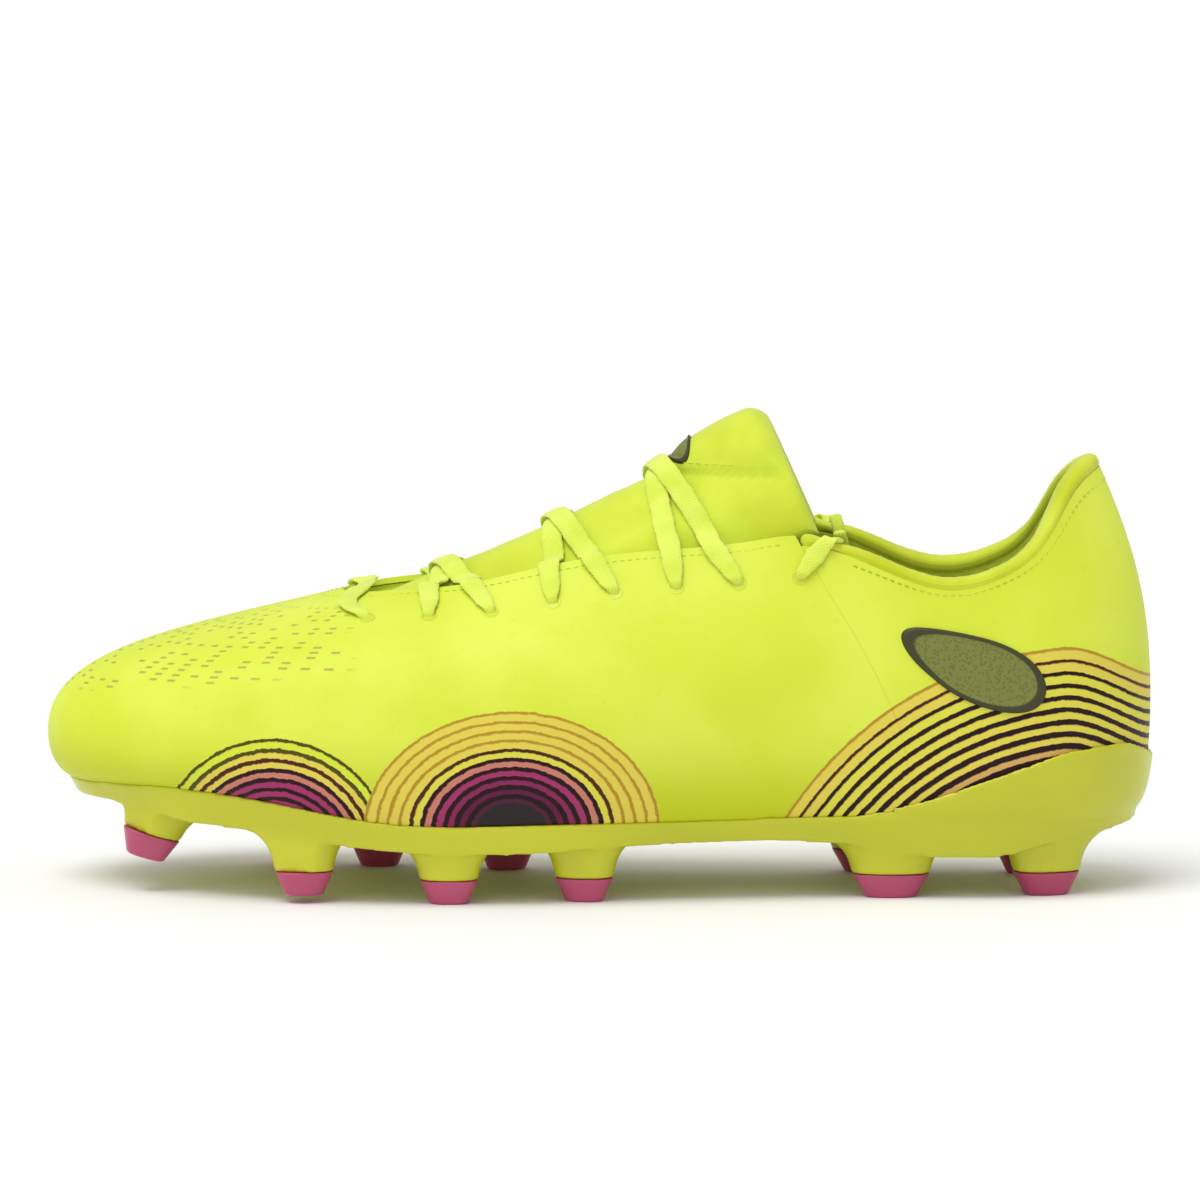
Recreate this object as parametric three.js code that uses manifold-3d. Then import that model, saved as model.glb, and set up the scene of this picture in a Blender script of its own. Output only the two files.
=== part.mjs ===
// A firm-ground soccer cleat for a left foot, EU size 42, built as separate pieces.
// Millimetres, +Z up, toe towards -X, outer (lateral) side towards -Y, standing on its studs at z = 0.
import * as THREE from "three";
import { mergeVertices } from "three/addons/utils/BufferGeometryUtils.js";
import Module from "manifold-3d";

const wasm = await Module();
wasm.setup();

// ---------------------------------------------------------------- driving dimensions
const GAP = 0.35; // between layers that touch
const SKIN = 1.5; // outer skin of the upper
const STIFFENER = 0.8; // toe puff, heel counter and eyestays
const LINING = 0.8;
const LINING_DEPTH = SKIN + STIFFENER + 2 * GAP; // of the lining's outer face below the skin's outer face
const COLLAR_PAD = 2.4; // how much further in the lining runs round the collar, over its foam
const EYELETS = 8;
const EYELET_FRONT = -59; // x of the first eyelet
const EYELET_PITCH = 15.8;
const EYELET_RADIUS = 2.1;
const EYELET_V = 0.83; // how far up the upper the eyelets sit
const LACE_WIDTH = 5;
const LACE_THICK = 1.3;
const LACE_BUNCHED = 2.3; // width of the lace inside an eyelet
const EDGE_V = 1; // where the lace crosses the topline
const LACE_OVER = 1.45; // of the lace's middle above what it lies on
const LACE_LIFT = 1.7; // of a crossing over the one below it
const TONGUE_FACE = 0.9;
const TONGUE_LINING = 0.8;
const FOLD_T = 0.83; // where along the tongue its free top bends
const FOLD_SLIT = 0.032; // a slit there, so that the bent top stays clear of the rest
// From the feather line down to the plate's underside, by strip.
const PLATE_DROP = [3.6, 4.4, 8.6, 8.2, 6.8, 7.2, 5.4, 5.4, 6.8, 10.4, 10.6, 6.6, 5, 4];
const CUP_CLEAR = 0.6; // between the upper and the heel cup
const CUP_WALL = 1.2;
const PLATE_LEDGE = CUP_CLEAR + CUP_WALL; // how far the plate stands out past the feather line
const TIP_HEIGHT = 6.2;
const TIP_GAP = 0.3;
const STUD_SIDES = 10;
const ORIGIN = [-0.1, -1.5, 0]; // moves the middle of the shoe's outline, on the ground, to the origin
const SPIGOT = { radius: 2.2, height: 3.2, root: 1.4, clear: 0.4 };

// ---------------------------------------------------------------- the last
// Strips of the upper from toe to heel. Each runs from the feather line, where the upper meets the sole, over the
// widest girth, to the topline, the edge of the throat and collar. skew moves the inner side forward and the outer
// side back; c is the middle's y and w the half width; out and z place the girth; up, back and slope are the
// handles of the curve that leaves the girth upright and reaches the topline at that slope.
const STRIPS = [
  {
    skew: 0, foot: { x: -135.5, c: 9, w: 0, z: 26.5 }, girth: { out: 7.3, z: 39 },
    top: { x: -66, c: 2, w: 0, z: 76.5 }, curve: { up: 21, back: 46, slope: 14 },
  },
  {
    skew: 1, foot: { x: -127.5, c: 8.5, w: 18, z: 27.2 }, girth: { out: 6.9, z: 39 },
    top: { x: -65.3, c: 2, w: 3, z: 76.5 }, curve: { up: 21, back: 43, slope: 14 },
  },
  {
    skew: 3, foot: { x: -109, c: 6.5, w: 33, z: 27.8 }, girth: { out: 6, z: 39 },
    top: { x: -63.3, c: 2, w: 6.3, z: 76.6 }, curve: { up: 21, back: 38, slope: 14 },
  },
  {
    skew: 6, foot: { x: -88, c: 4, w: 40.5, z: 25.3 }, girth: { out: 4.8, z: 38 },
    top: { x: -59.5, c: 2, w: 9.5, z: 77 }, curve: { up: 22, back: 31, slope: 15 },
  },
  {
    skew: 8, foot: { x: -62, c: 1.5, w: 43.5, z: 20.8 }, girth: { out: 4.2, z: 36.5 },
    top: { x: -51.5, c: 2, w: 12.5, z: 78 }, curve: { up: 23, back: 24, slope: 18 },
  },
  {
    skew: 6, foot: { x: -24, c: -1.5, w: 40, z: 20.2 }, girth: { out: 4.2, z: 38 },
    top: { x: -32, c: 1.8, w: 17, z: 80.6 }, curve: { up: 24, back: 20, slope: 30 },
  },
  {
    skew: 2, foot: { x: 14, c: -2.5, w: 33, z: 20.3 }, girth: { out: 4.8, z: 41 },
    top: { x: 2, c: 1.4, w: 20.2, z: 87.6 }, curve: { up: 24, back: 18, slope: 48 },
  },
  {
    skew: 0, foot: { x: 44, c: -1.5, w: 29.8, z: 20.7 }, girth: { out: 4.6, z: 43 },
    top: { x: 37, c: 0.8, w: 23.5, z: 91.2 }, curve: { up: 24, back: 17, slope: 63 },
  },
  {
    skew: 0, foot: { x: 63, c: -0.6, w: 29.6, z: 21 }, girth: { out: 4, z: 44 },
    top: { x: 57.5, c: 0.3, w: 26.2, z: 92.6 }, curve: { up: 22, back: 17, slope: 76 },
  },
  {
    skew: 0, foot: { x: 85, c: 0, w: 30.4, z: 21 }, girth: { out: 3.4, z: 45 },
    top: { x: 84, c: 0, w: 28.6, z: 82.6 }, curve: { up: 16, back: 12, slope: 80 },
  },
  {
    skew: 0, foot: { x: 102, c: 0, w: 30.2, z: 21 }, girth: { out: 3.4, z: 46 },
    top: { x: 100, c: 0, w: 27, z: 83.6 }, curve: { up: 16, back: 12, slope: 78 },
  },
  {
    skew: 0, foot: { x: 118, c: 0, w: 26.5, z: 21 }, girth: { out: 3.8, z: 47 },
    top: { x: 112.8, c: 0, w: 21.5, z: 92.2 }, curve: { up: 20, back: 16, slope: 75 },
  },
  {
    skew: 0, foot: { x: 131, c: 0, w: 16.5, z: 21 }, girth: { out: 4.5, z: 48 },
    top: { x: 121.4, c: 0, w: 11.8, z: 106.6 }, curve: { up: 25, back: 22, slope: 72 },
  },
  {
    skew: 0, foot: { x: 138, c: 0, w: 0, z: 21 }, girth: { out: 4.7, z: 48.6 },
    top: { x: 127.7, c: 0, w: 0, z: 112.2 }, curve: { up: 27, back: 24, slope: 66 },
  },
];
// The loop coordinate p is 0 at the toe tip, HEEL at the heel, and LOOP back at the toe.
const HEEL = STRIPS.length - 1;
const LOOP = 2 * HEEL;
const GIRTH_V = 0.24; // share of v below the girth

// The strip's numbers on one side: -1 is the outer side and +1 the inner one.
function stripNumbers(strip, side) {
  const { skew, foot, girth, top, curve } = strip;
  return [
    foot.x - side * skew, foot.c + side * foot.w, foot.z,
    girth.out, girth.z,
    top.x - side * 0.4 * skew, top.c + side * top.w, top.z,
    curve.up, curve.back, curve.slope,
  ];
}

// A smooth (C2) closed cubic through rows of numbers at the given knots, as a function of the knot parameter.
function closedCubic(knots, period, rows) {
  const n = rows.length;
  const step = knots.map((t, k) => (k + 1 < n ? knots[k + 1] : period) - t);
  const matrix = rows.map(() => new Array(n).fill(0));
  const bends = rows.map((row, k) => {
    const before = (k + n - 1) % n;
    const after = (k + 1) % n;
    matrix[k][before] += step[before];
    matrix[k][k] += 2 * (step[before] + step[k]);
    matrix[k][after] += step[k];
    return row.map((y, c) => 6 * ((rows[after][c] - y) / step[k] - (y - rows[before][c]) / step[before]));
  });
  for (let k = 0; k < n; k++)
    for (let r = 0; r < n; r++) {
      if (r === k || !matrix[r][k]) continue;
      const share = matrix[r][k] / matrix[k][k];
      matrix[r] = matrix[r].map((m, c) => m - share * matrix[k][c]);
      bends[r] = bends[r].map((b, c) => b - share * bends[k][c]);
    }
  bends.forEach((b, k) => (bends[k] = b.map((value) => value / matrix[k][k])));
  return (k, part) => {
    const after = (k + 1) % n;
    const h = step[k];
    const rest = 1 - part;
    return rows[k].map(
      (y, c) =>
        rest * y + part * rows[after][c] +
        ((rest ** 3 - rest) * bends[k][c] + (part ** 3 - part) * bends[after][c]) * (h * h / 6),
    );
  };
}

const loopRows = [
  ...STRIPS.map((strip) => stripNumbers(strip, -1)),
  ...STRIPS.slice(1, HEEL).reverse().map((strip) => stripNumbers(strip, 1)),
];
const loopKnots = [0];
loopRows.forEach(([x, y], k) => {
  const [nextX, nextY] = loopRows[(k + 1) % LOOP];
  loopKnots.push(loopKnots[k] + Math.hypot(nextX - x, nextY - y));
});
const loopAt = closedCubic(loopKnots.slice(0, LOOP), loopKnots[LOOP], loopRows);

function strip(p) {
  const wrapped = ((p % LOOP) + LOOP) % LOOP;
  const k = Math.floor(wrapped);
  return loopAt(k, wrapped - k);
}

const cubic = (a, b, c, d, t) => {
  const s = 1 - t;
  return a.clone().multiplyScalar(s ** 3)
    .addScaledVector(b, 3 * s * s * t)
    .addScaledVector(c, 3 * s * t * t)
    .addScaledVector(d, t ** 3);
};

// The horizontal direction pointing out of the shoe at the feather line.
function outward(p) {
  const [x0, y0] = strip(p - 0.05);
  const [x1, y1] = strip(p + 0.05);
  return new THREE.Vector3(y1 - y0, x0 - x1, 0).normalize();
}

// A point on the skin's outer face: p runs round the shoe and v from the feather line (0) to the topline (1).
function lastPoint(p, v) {
  const [fx, fy, fz, out, girthZ, tx, ty, tz, up, back, slope] = strip(p);
  const away = outward(p);
  const foot = new THREE.Vector3(fx, fy, fz);
  const girth = foot.clone().addScaledVector(away, out).setZ(girthZ);
  const upright = new THREE.Vector3(0, 0, 1);
  if (v < GIRTH_V) {
    const under = foot.clone().addScaledVector(away, 0.75 * out).addScaledVector(upright, 2.2);
    const below = girth.clone().addScaledVector(upright, -0.45 * (girthZ - fz));
    return cubic(foot, under, below, girth, v / GIRTH_V);
  }
  const top = new THREE.Vector3(tx, ty, tz);
  const rise = THREE.MathUtils.degToRad(slope);
  const inwards = top.clone().sub(girth).setZ(0).normalize();
  const above = girth.clone().addScaledVector(upright, up);
  const before = top.clone()
    .addScaledVector(inwards, -back * Math.cos(rise))
    .addScaledVector(upright, -back * Math.sin(rise));
  return cubic(girth, above, before, top, (v - GIRTH_V) / (1 - GIRTH_V));
}

function lastNormal(p, v) {
  const dp = lastPoint(p + 0.04, v).sub(lastPoint(p - 0.04, v));
  const dv = lastPoint(p, Math.min(1, v + 0.01)).sub(lastPoint(p, Math.max(0, v - 0.01)));
  return dp.cross(dv).normalize();
}

// A point that far below the skin's outer face; a negative depth is outside it.
const skinPoint = (p, v, depth) => lastPoint(p, v).addScaledVector(lastNormal(p, v), -depth);

// ---------------------------------------------------------------- the lattice that all layers share
// Layers that lie face to face take their corners from one lattice, so their facets stay parallel.
const ROWS = [0, 0.1, 0.24, 0.38, 0.52, 0.64, 0.74, 0.83, 0.92, 1];
const BINDING_V = 0.955; // the binding wraps what is above this
const BELOW_BINDING_V = 0.94; // the quarters and their lining end here, under the binding
const BELOW_EDGE_V = 0.985; // the vamp's lining ends here, short of the throat's edge
const HALF = [0, 0.5, 1, 1.5, 2, 3, 4, 5, 6, 7, 8, 9, 10, 10.8, 11.5, 12, 12.5, 13];
const SEAM = 8; // the column where the vamp meets the quarters

const range = (from, to, step = 1) =>
  Array.from({ length: Math.round((to - from) / step) + 1 }, (_, k) => from + k * step);
const smooth = (from, to, value) => THREE.MathUtils.smoothstep(value, from, to);
const wrap = (p) => ((p % LOOP) + LOOP) % LOOP;
const fromToe = (p) => Math.min(wrap(p), LOOP - wrap(p));

// The lattice's columns from one loop coordinate to another; those below 0 are on the inner side.
function columns(from, to) {
  const loop = [...HALF, ...HALF.slice(1, -1).reverse().map((column) => LOOP - column)];
  return [...loop.map((column) => column - LOOP), ...loop].filter((column) => column >= from && column <= to);
}

// The seam leans back as it goes down, and the columns near it lean with it.
function leaned(column, v) {
  const share = Math.cos((Math.PI / 2) * Math.min(1, Math.abs(fromToe(column) - SEAM) / 5)) ** 2;
  const shift = share * (-0.35 + 1.3 * (1 - v));
  return column + (wrap(column) > HEEL ? -shift : shift);
}

// ---------------------------------------------------------------- building solids
function geometryOf(points, triangles) {
  const flat = new Float32Array(points.flatMap((point) => [point.x, point.y, point.z]));
  const geometry = new THREE.BufferGeometry()
    .setAttribute("position", new THREE.BufferAttribute(flat, 3))
    .setIndex(triangles);
  const merged = mergeVertices(geometry, 1e-3);
  const index = [...merged.index.array];
  const kept = [];
  for (let i = 0; i < index.length; i += 3) {
    const [a, b, c] = index.slice(i, i + 3);
    if (a !== b && b !== c && a !== c) kept.push(a, b, c);
  }
  return merged.setIndex(kept);
}

// The closed skin round a block of points, block[i][j][0] on the front and [1] on the back, facing out.
function blockGeometry(block) {
  const columns = block.length;
  const rows = block[0].length;
  const points = block.flat(2);
  const at = (i, j, side) => 2 * (i * rows + j) + side;
  const triangles = [];
  const quad = (a, b, c, d) => triangles.push(a, b, c, a, c, d);
  for (let i = 0; i + 1 < columns; i++)
    for (let j = 0; j + 1 < rows; j++) {
      quad(at(i, j, 0), at(i + 1, j, 0), at(i + 1, j + 1, 0), at(i, j + 1, 0));
      quad(at(i, j, 1), at(i, j + 1, 1), at(i + 1, j + 1, 1), at(i + 1, j, 1));
    }
  for (let i = 0; i + 1 < columns; i++) {
    quad(at(i, 0, 0), at(i, 0, 1), at(i + 1, 0, 1), at(i + 1, 0, 0));
    quad(at(i, rows - 1, 0), at(i + 1, rows - 1, 0), at(i + 1, rows - 1, 1), at(i, rows - 1, 1));
  }
  for (let j = 0; j + 1 < rows; j++) {
    quad(at(0, j, 0), at(0, j + 1, 0), at(0, j + 1, 1), at(0, j, 1));
    quad(at(columns - 1, j, 0), at(columns - 1, j, 1), at(columns - 1, j + 1, 1), at(columns - 1, j + 1, 0));
  }
  return facingOut(geometryOf(points, triangles));
}

function volumeOf(geometry) {
  const position = geometry.getAttribute("position");
  const index = geometry.index.array;
  const corner = [0, 1, 2].map(() => new THREE.Vector3());
  let sum = 0;
  for (let i = 0; i < index.length; i += 3) {
    corner.forEach((point, k) => point.fromBufferAttribute(position, index[i + k]));
    sum += corner[0].dot(corner[1].clone().cross(corner[2])) / 6;
  }
  return sum;
}

function facingOut(geometry) {
  if (volumeOf(geometry) >= 0) return geometry;
  const index = [...geometry.index.array];
  for (let i = 0; i < index.length; i += 3) [index[i + 1], index[i + 2]] = [index[i + 2], index[i + 1]];
  return geometry.setIndex(index);
}

function solidOf(geometry) {
  const bare = new THREE.BufferGeometry().setAttribute("position", geometry.getAttribute("position"));
  if (geometry.index) bare.setIndex([...geometry.index.array]);
  const merged = mergeVertices(bare, 1e-3);
  return new wasm.Manifold(
    new wasm.Mesh({
      numProp: 3,
      vertProperties: merged.getAttribute("position").array,
      triVerts: new Uint32Array(merged.index.array),
    }),
  );
}

function geometryFrom(solid) {
  const mesh = solid.getMesh();
  return new THREE.BufferGeometry()
    .setAttribute("position", new THREE.BufferAttribute(new Float32Array(mesh.vertProperties), 3))
    .setIndex([...mesh.triVerts]);
}

const joined = (geometries) =>
  geometryFrom(geometries.map(solidOf).reduce((whole, solid) => whole.add(solid)));
const cutFrom = (geometry, cutters) =>
  geometryFrom(cutters.map(solidOf).reduce((whole, solid) => whole.subtract(solid), solidOf(geometry)));

// A piece of the upper between two depths, over a run of lattice columns and rows.
function upperPanel(run, rows, outerDepth, innerDepth) {
  const depthAt = (depth, p, v) => (typeof depth === "function" ? depth(p, v) : depth);
  return blockGeometry(
    run.map((column) =>
      rows.map((v) => {
        const p = leaned(column, v);
        return [skinPoint(p, v, depthAt(outerDepth, p, v)), skinPoint(p, v, depthAt(innerDepth, p, v))];
      }),
    ),
  );
}

// Rings of points lofted into a closed solid with flat ends.
function loft(rings) {
  const sides = rings[0].length;
  const points = rings.flat();
  const triangles = [];
  for (let r = 0; r + 1 < rings.length; r++)
    for (let k = 0; k < sides; k++) {
      const next = (k + 1) % sides;
      const [a, b, c, d] = [r * sides + k, r * sides + next, (r + 1) * sides + next, (r + 1) * sides + k];
      triangles.push(a, b, c, a, c, d);
    }
  for (let k = 1; k + 1 < sides; k++) {
    const end = (rings.length - 1) * sides;
    triangles.push(0, k + 1, k, end, end + k, end + k + 1);
  }
  return facingOut(geometryOf(points, triangles));
}

// ---------------------------------------------------------------- materials
const finish = (color, roughness, metalness = 0) => new THREE.MeshStandardMaterial({ color, roughness, metalness });
const LIME_SKIN = finish(0xdcee4a, 0.5);
const LIME_TEXTILE = finish(0xd3e553, 0.9);
const LIME_PLATE = finish(0xcfdc2a, 0.4);
const PINK_TIP = finish(0xc8467f, 0.35);
const FOAM = finish(0xe9e6c8, 0.95);
const BOARD = finish(0xe6e2d6, 0.9);
const STIFF_SHEET = finish(0xd9d6cc, 0.7);
const BADGE = finish(0x5f652c, 0.6);
const LACE = finish(0xe0f060, 0.85);
const AGLET = finish(0xe8f08a, 0.25);

const cleat = new THREE.Group();
cleat.name = "soccer_cleat";

function add(name, geometry, material) {
  const mesh = new THREE.Mesh(geometry, material);
  mesh.name = name;
  cleat.add(mesh);
}

// ---------------------------------------------------------------- eyelets
// The loop coordinate on one side at which the eyelet line reaches the given x.
function eyeletColumn(x, side) {
  let [low, high] = [2, 9];
  for (let k = 0; k < 30; k++) {
    const middle = (low + high) / 2;
    if (skinPoint(side > 0 ? LOOP - middle : middle, EYELET_V, 0).x < x) low = middle;
    else high = middle;
  }
  return side > 0 ? LOOP - low : low;
}

const eyelets = [-1, 1].map((side) =>
  range(0, EYELETS - 1).map((k) => eyeletColumn(EYELET_FRONT + k * EYELET_PITCH, side)),
);
const eyeletOf = (side, number) => eyelets[side > 0 ? 1 : 0][number - 1];

function eyeletDrills() {
  return eyelets.flat().map((p) => {
    const drill = new THREE.CylinderGeometry(EYELET_RADIUS, EYELET_RADIUS, 12, 6);
    const upright = new THREE.Vector3(0, 1, 0);
    drill.applyQuaternion(new THREE.Quaternion().setFromUnitVectors(upright, lastNormal(p, EYELET_V)));
    const at = skinPoint(p, EYELET_V, 2);
    return drill.translate(at.x, at.y, at.z);
  });
}

// ---------------------------------------------------------------- the upper
const padded = (p, v) => smooth(SEAM, SEAM + 1, fromToe(p)) * smooth(0.5, 0.76, v);
const liningOuter = (p, v) => LINING_DEPTH + COLLAR_PAD * padded(p, v);
const liningInner = (p, v) => liningOuter(p, v) + LINING;

function addUpper() {
  const drills = eyeletDrills();
  const seamGap = 0.02; // of a column, on each side of a seam
  const between = (from, to) => {
    const run = columns(from, to);
    return [run[0] + seamGap, ...run.slice(1, -1), run.at(-1) - seamGap];
  };
  const front = between(-SEAM, SEAM);
  const rear = between(SEAM, LOOP - SEAM);
  const belowBinding = [...ROWS.slice(0, -1), BELOW_BINDING_V];
  const belowEdge = [...ROWS.slice(0, -1), BELOW_EDGE_V];
  const panel = (run, rows) => upperPanel(run, rows, 0, SKIN);
  const lining = (run, rows) => upperPanel(run, rows, liningOuter, liningInner);

  add("vamp", cutFrom(panel(front, ROWS), drills), LIME_SKIN);
  add("quarter_outer", panel(between(SEAM, HEEL), belowBinding), LIME_SKIN);
  add("quarter_inner", panel(between(HEEL, LOOP - SEAM), belowBinding), LIME_SKIN);
  add("vamp_lining", cutFrom(lining(front, belowEdge), drills), LIME_TEXTILE);
  add("quarter_lining", lining(rear, belowBinding), LIME_TEXTILE);
  add("collar_binding", upperPanel(rear, [BINDING_V, 1], 0, liningInner), LIME_TEXTILE);

  const [stiffFrom, stiffTo] = [SKIN + GAP, SKIN + GAP + STIFFENER];
  const stiff = (run, rows) => upperPanel(run, rows, stiffFrom, stiffTo);
  const foamInner = (p, v) => liningOuter(p, v) - GAP;
  add("collar_foam", upperPanel(columns(9, LOOP - 9), ROWS.slice(5, 9), stiffFrom, foamInner), FOAM);
  add("toe_puff", stiff(columns(-3, 3), ROWS.slice(1, 6)), STIFF_SHEET);
  add("heel_counter", stiff(columns(10, LOOP - 10), ROWS.slice(1, 5)), STIFF_SHEET);
  const stayRows = ROWS.slice(6, 9);
  add("eyestay_outer", cutFrom(stiff(columns(3, 7), stayRows), drills), STIFF_SHEET);
  add("eyestay_inner", cutFrom(stiff(columns(LOOP - 7, LOOP - 3), stayRows), drills), STIFF_SHEET);

  const badge = (run) => upperPanel(run, ROWS.slice(2, 7), -0.7, -0.3);
  const badgeRun = [8.6, 9, 10, 10.7];
  add("side_badge_outer", badge(badgeRun), BADGE);
  add("side_badge_inner", badge(badgeRun.map((column) => LOOP - column)), BADGE);
}

// ---------------------------------------------------------------- the bottom
// A value given by strip, between strips.
function byStrip(values, p) {
  const near = fromToe(p);
  const k = Math.min(HEEL - 1, Math.floor(near));
  return THREE.MathUtils.lerp(values[k], values[k + 1], near - k);
}

// A slab across the shoe between two heights above the feather line, inset from it by so much. The heights are
// functions of the strip.
function sole(across, inset, zFrom, zTo) {
  const edge = (p, by, z) => {
    const [x, y, footZ] = strip(p);
    return new THREE.Vector3(x, y, footZ + z).addScaledVector(outward(p), -by);
  };
  const line = (column, by, z) => {
    const [outer, inner] = [edge(column, by, z), edge(LOOP - column, by, z)];
    return range(0, across).map((k) => outer.clone().lerp(inner, k / across));
  };
  return blockGeometry(
    HALF.map((column) => {
      const [top, bottom] = [line(column, inset.top, zTo(column)), line(column, inset.bottom, zFrom(column))];
      return top.map((point, k) => [point, bottom[k]]);
    }),
  );
}

// How high the heel cup's rim stands, by strip.
const CUP_RIM = { 8: 21.2, 9: 26.5, 10: 32.5, 11: 38.5, 12: 39.8, 13: 34 };
const cupRim = (p) => byStrip(CUP_RIM, p);
const CUP_FRONT = 8.1; // the column where the cup's wall begins on the outer side
const CUP_TUCK = 2.5; // how far the wall runs down below the feather line, into the plate

function vAtHeight(p, z) {
  let [low, high] = [0, 0.6];
  for (let k = 0; k < 30; k++) {
    const middle = (low + high) / 2;
    if (lastPoint(p, middle).z < z) low = middle;
    else high = middle;
  }
  return low;
}

function heelCup() {
  const wall = (p, v, drop) => {
    const down = new THREE.Vector3(0, 0, -drop);
    return [-CUP_CLEAR - CUP_WALL, -CUP_CLEAR].map((depth) => skinPoint(p, v, depth).add(down));
  };
  return blockGeometry(
    [CUP_FRONT, ...columns(9, LOOP - 9), LOOP - CUP_FRONT].map((p) => {
      const rim = vAtHeight(p, cupRim(p));
      return [wall(p, 0, CUP_TUCK), ...range(0, 3).map((k) => wall(p, (rim * k) / 3, 0))];
    }),
  );
}

// Studs: middle of each where tip meets base, half sizes there, and the tip's height off the ground. A tilted stud
// leans forward as it goes down, by so much of its height, and its sole rises forward by as much.
const FOREFOOT = { rx: 7.5, ry: 5.8 };
const HEEL_FRONT = { rx: 10, ry: 6.2 };
const HEEL_BACK = { rx: 8.7, ry: 6 };
const STUDS = [
  { name: "toe_outer", x: -114.8, y: -14, z: 9, turn: 8, tilt: 0.3, ...FOREFOOT, rx: 7.2 },
  { name: "toe_inner", x: -114.8, y: 26, z: 9.2, turn: -10, tilt: 0.3, ...FOREFOOT, rx: 7.2 },
  { name: "front_outer", x: -75, y: -33, z: 2, turn: 12, ...FOREFOOT },
  { name: "front_inner", x: -80, y: 35, z: 2, turn: -8, ...FOREFOOT },
  { name: "ball_outer", x: -38, y: -34.5, z: 0, turn: 0, ...FOREFOOT },
  { name: "ball_inner", x: -57.5, y: 33, z: 0, turn: 6, ...FOREFOOT },
  { name: "mid_outer", x: -3.5, y: -30, z: 0, turn: -8, ...FOREFOOT },
  { name: "mid_inner", x: -24, y: 26.5, z: 0, turn: 12, ...FOREFOOT },
  { name: "heel_front_outer", x: 75, y: -22.5, z: 0, turn: 0, ...HEEL_FRONT },
  { name: "heel_front_inner", x: 71, y: 22.5, z: 0, turn: 0, ...HEEL_FRONT },
  { name: "heel_back_outer", x: 115, y: -18.5, z: 0, turn: 14, ...HEEL_BACK },
  { name: "heel_back_inner", x: 112.5, y: 19, z: 0, turn: -14, ...HEEL_BACK },
];

function studRing({ x, y, z: sole, turn, tilt = 0, rx, ry }, scale, z) {
  const angle = THREE.MathUtils.degToRad(turn);
  const lean = (z - sole - TIP_HEIGHT) * tilt;
  return range(0, STUD_SIDES - 1).map((k) => {
    const around = (2 * Math.PI * k) / STUD_SIDES;
    const square = (value) => Math.sign(value) * Math.abs(value) ** 0.8;
    const [u, v] = [rx * scale * square(Math.cos(around)), ry * scale * square(Math.sin(around))];
    const ahead = u * Math.cos(angle) - v * Math.sin(angle);
    const across = u * Math.sin(angle) + v * Math.cos(angle);
    return new THREE.Vector3(x + lean + ahead, y + across, z - tilt * ahead);
  });
}

function post({ x, y }, radius, z0, z1) {
  return new THREE.CylinderGeometry(radius, radius, z1 - z0, 6)
    .rotateX(Math.PI / 2)
    .translate(x, y, (z0 + z1) / 2);
}

// How high the plate's underside is beside a stud.
function undersideHeight({ x, y }) {
  let [low, high] = [0, HEEL];
  const along = (middle) => strip(y < 0 ? middle : LOOP - middle);
  for (let k = 0; k < 30; k++) {
    const middle = (low + high) / 2;
    if (along(middle)[0] < x) low = middle;
    else high = middle;
  }
  return along(low)[2] - byStrip(PLATE_DROP, low);
}

// How wide the sections of a base and a tip are, as shares of the stud's half sizes.
const BASE_SHARES = { meet: 1, middle: 1.2, root: 1.36 };
const TIP_SHARES = { sole: 0.6, edge: 0.7, meet: 0.985 };
const TIP_EDGE = 0.7; // height of the bevel round the tip's sole
const BASE_ROOT = [0.2, 1.6]; // the base goes straight up between these, inside the plate

function studBase(stud) {
  const [meet, root] = [stud.z + TIP_HEIGHT, undersideHeight(stud)];
  return loft([
    studRing(stud, BASE_SHARES.meet, meet),
    studRing(stud, BASE_SHARES.middle, meet + 0.6 * (root - meet)),
    ...BASE_ROOT.map((rise) => studRing(stud, BASE_SHARES.root, root + rise)),
  ]);
}

function studTip(stud) {
  const meet = stud.z + TIP_HEIGHT - TIP_GAP;
  const cap = loft([
    studRing(stud, TIP_SHARES.sole, stud.z),
    studRing(stud, TIP_SHARES.edge, stud.z + TIP_EDGE),
    studRing(stud, TIP_SHARES.meet, meet),
  ]);
  return joined([cap, post(stud, SPIGOT.radius, meet - SPIGOT.root, meet + SPIGOT.height)]);
}

function addBottom() {
  const underside = (column) => -byStrip(PLATE_DROP, column);
  const level = (height) => () => height;
  const slab = sole(6, { top: -PLATE_LEDGE, bottom: 0.6 }, underside, level(-0.35));
  const sockets = STUDS.map((stud) => {
    const meet = stud.z + TIP_HEIGHT;
    return post(stud, SPIGOT.radius + SPIGOT.clear, meet - SPIGOT.root, meet + SPIGOT.height + SPIGOT.clear);
  });
  add("sole_plate", cutFrom(joined([slab, heelCup(), ...STUDS.map(studBase)]), sockets), LIME_PLATE);
  STUDS.forEach((stud) => add(`stud_tip_${stud.name}`, studTip(stud), PINK_TIP));
  add("insole_board", sole(2, { top: 5, bottom: 5 }, level(0.3), level(1.9)), BOARD);
  add("sockliner_foam", sole(2, { top: 5, bottom: 5.4 }, level(2.3), level(5.6)), FOAM);
  add("sockliner_cover", sole(2, { top: 5.2, bottom: 5 }, level(5.9), level(6.6)), LIME_TEXTILE);
}

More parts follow.
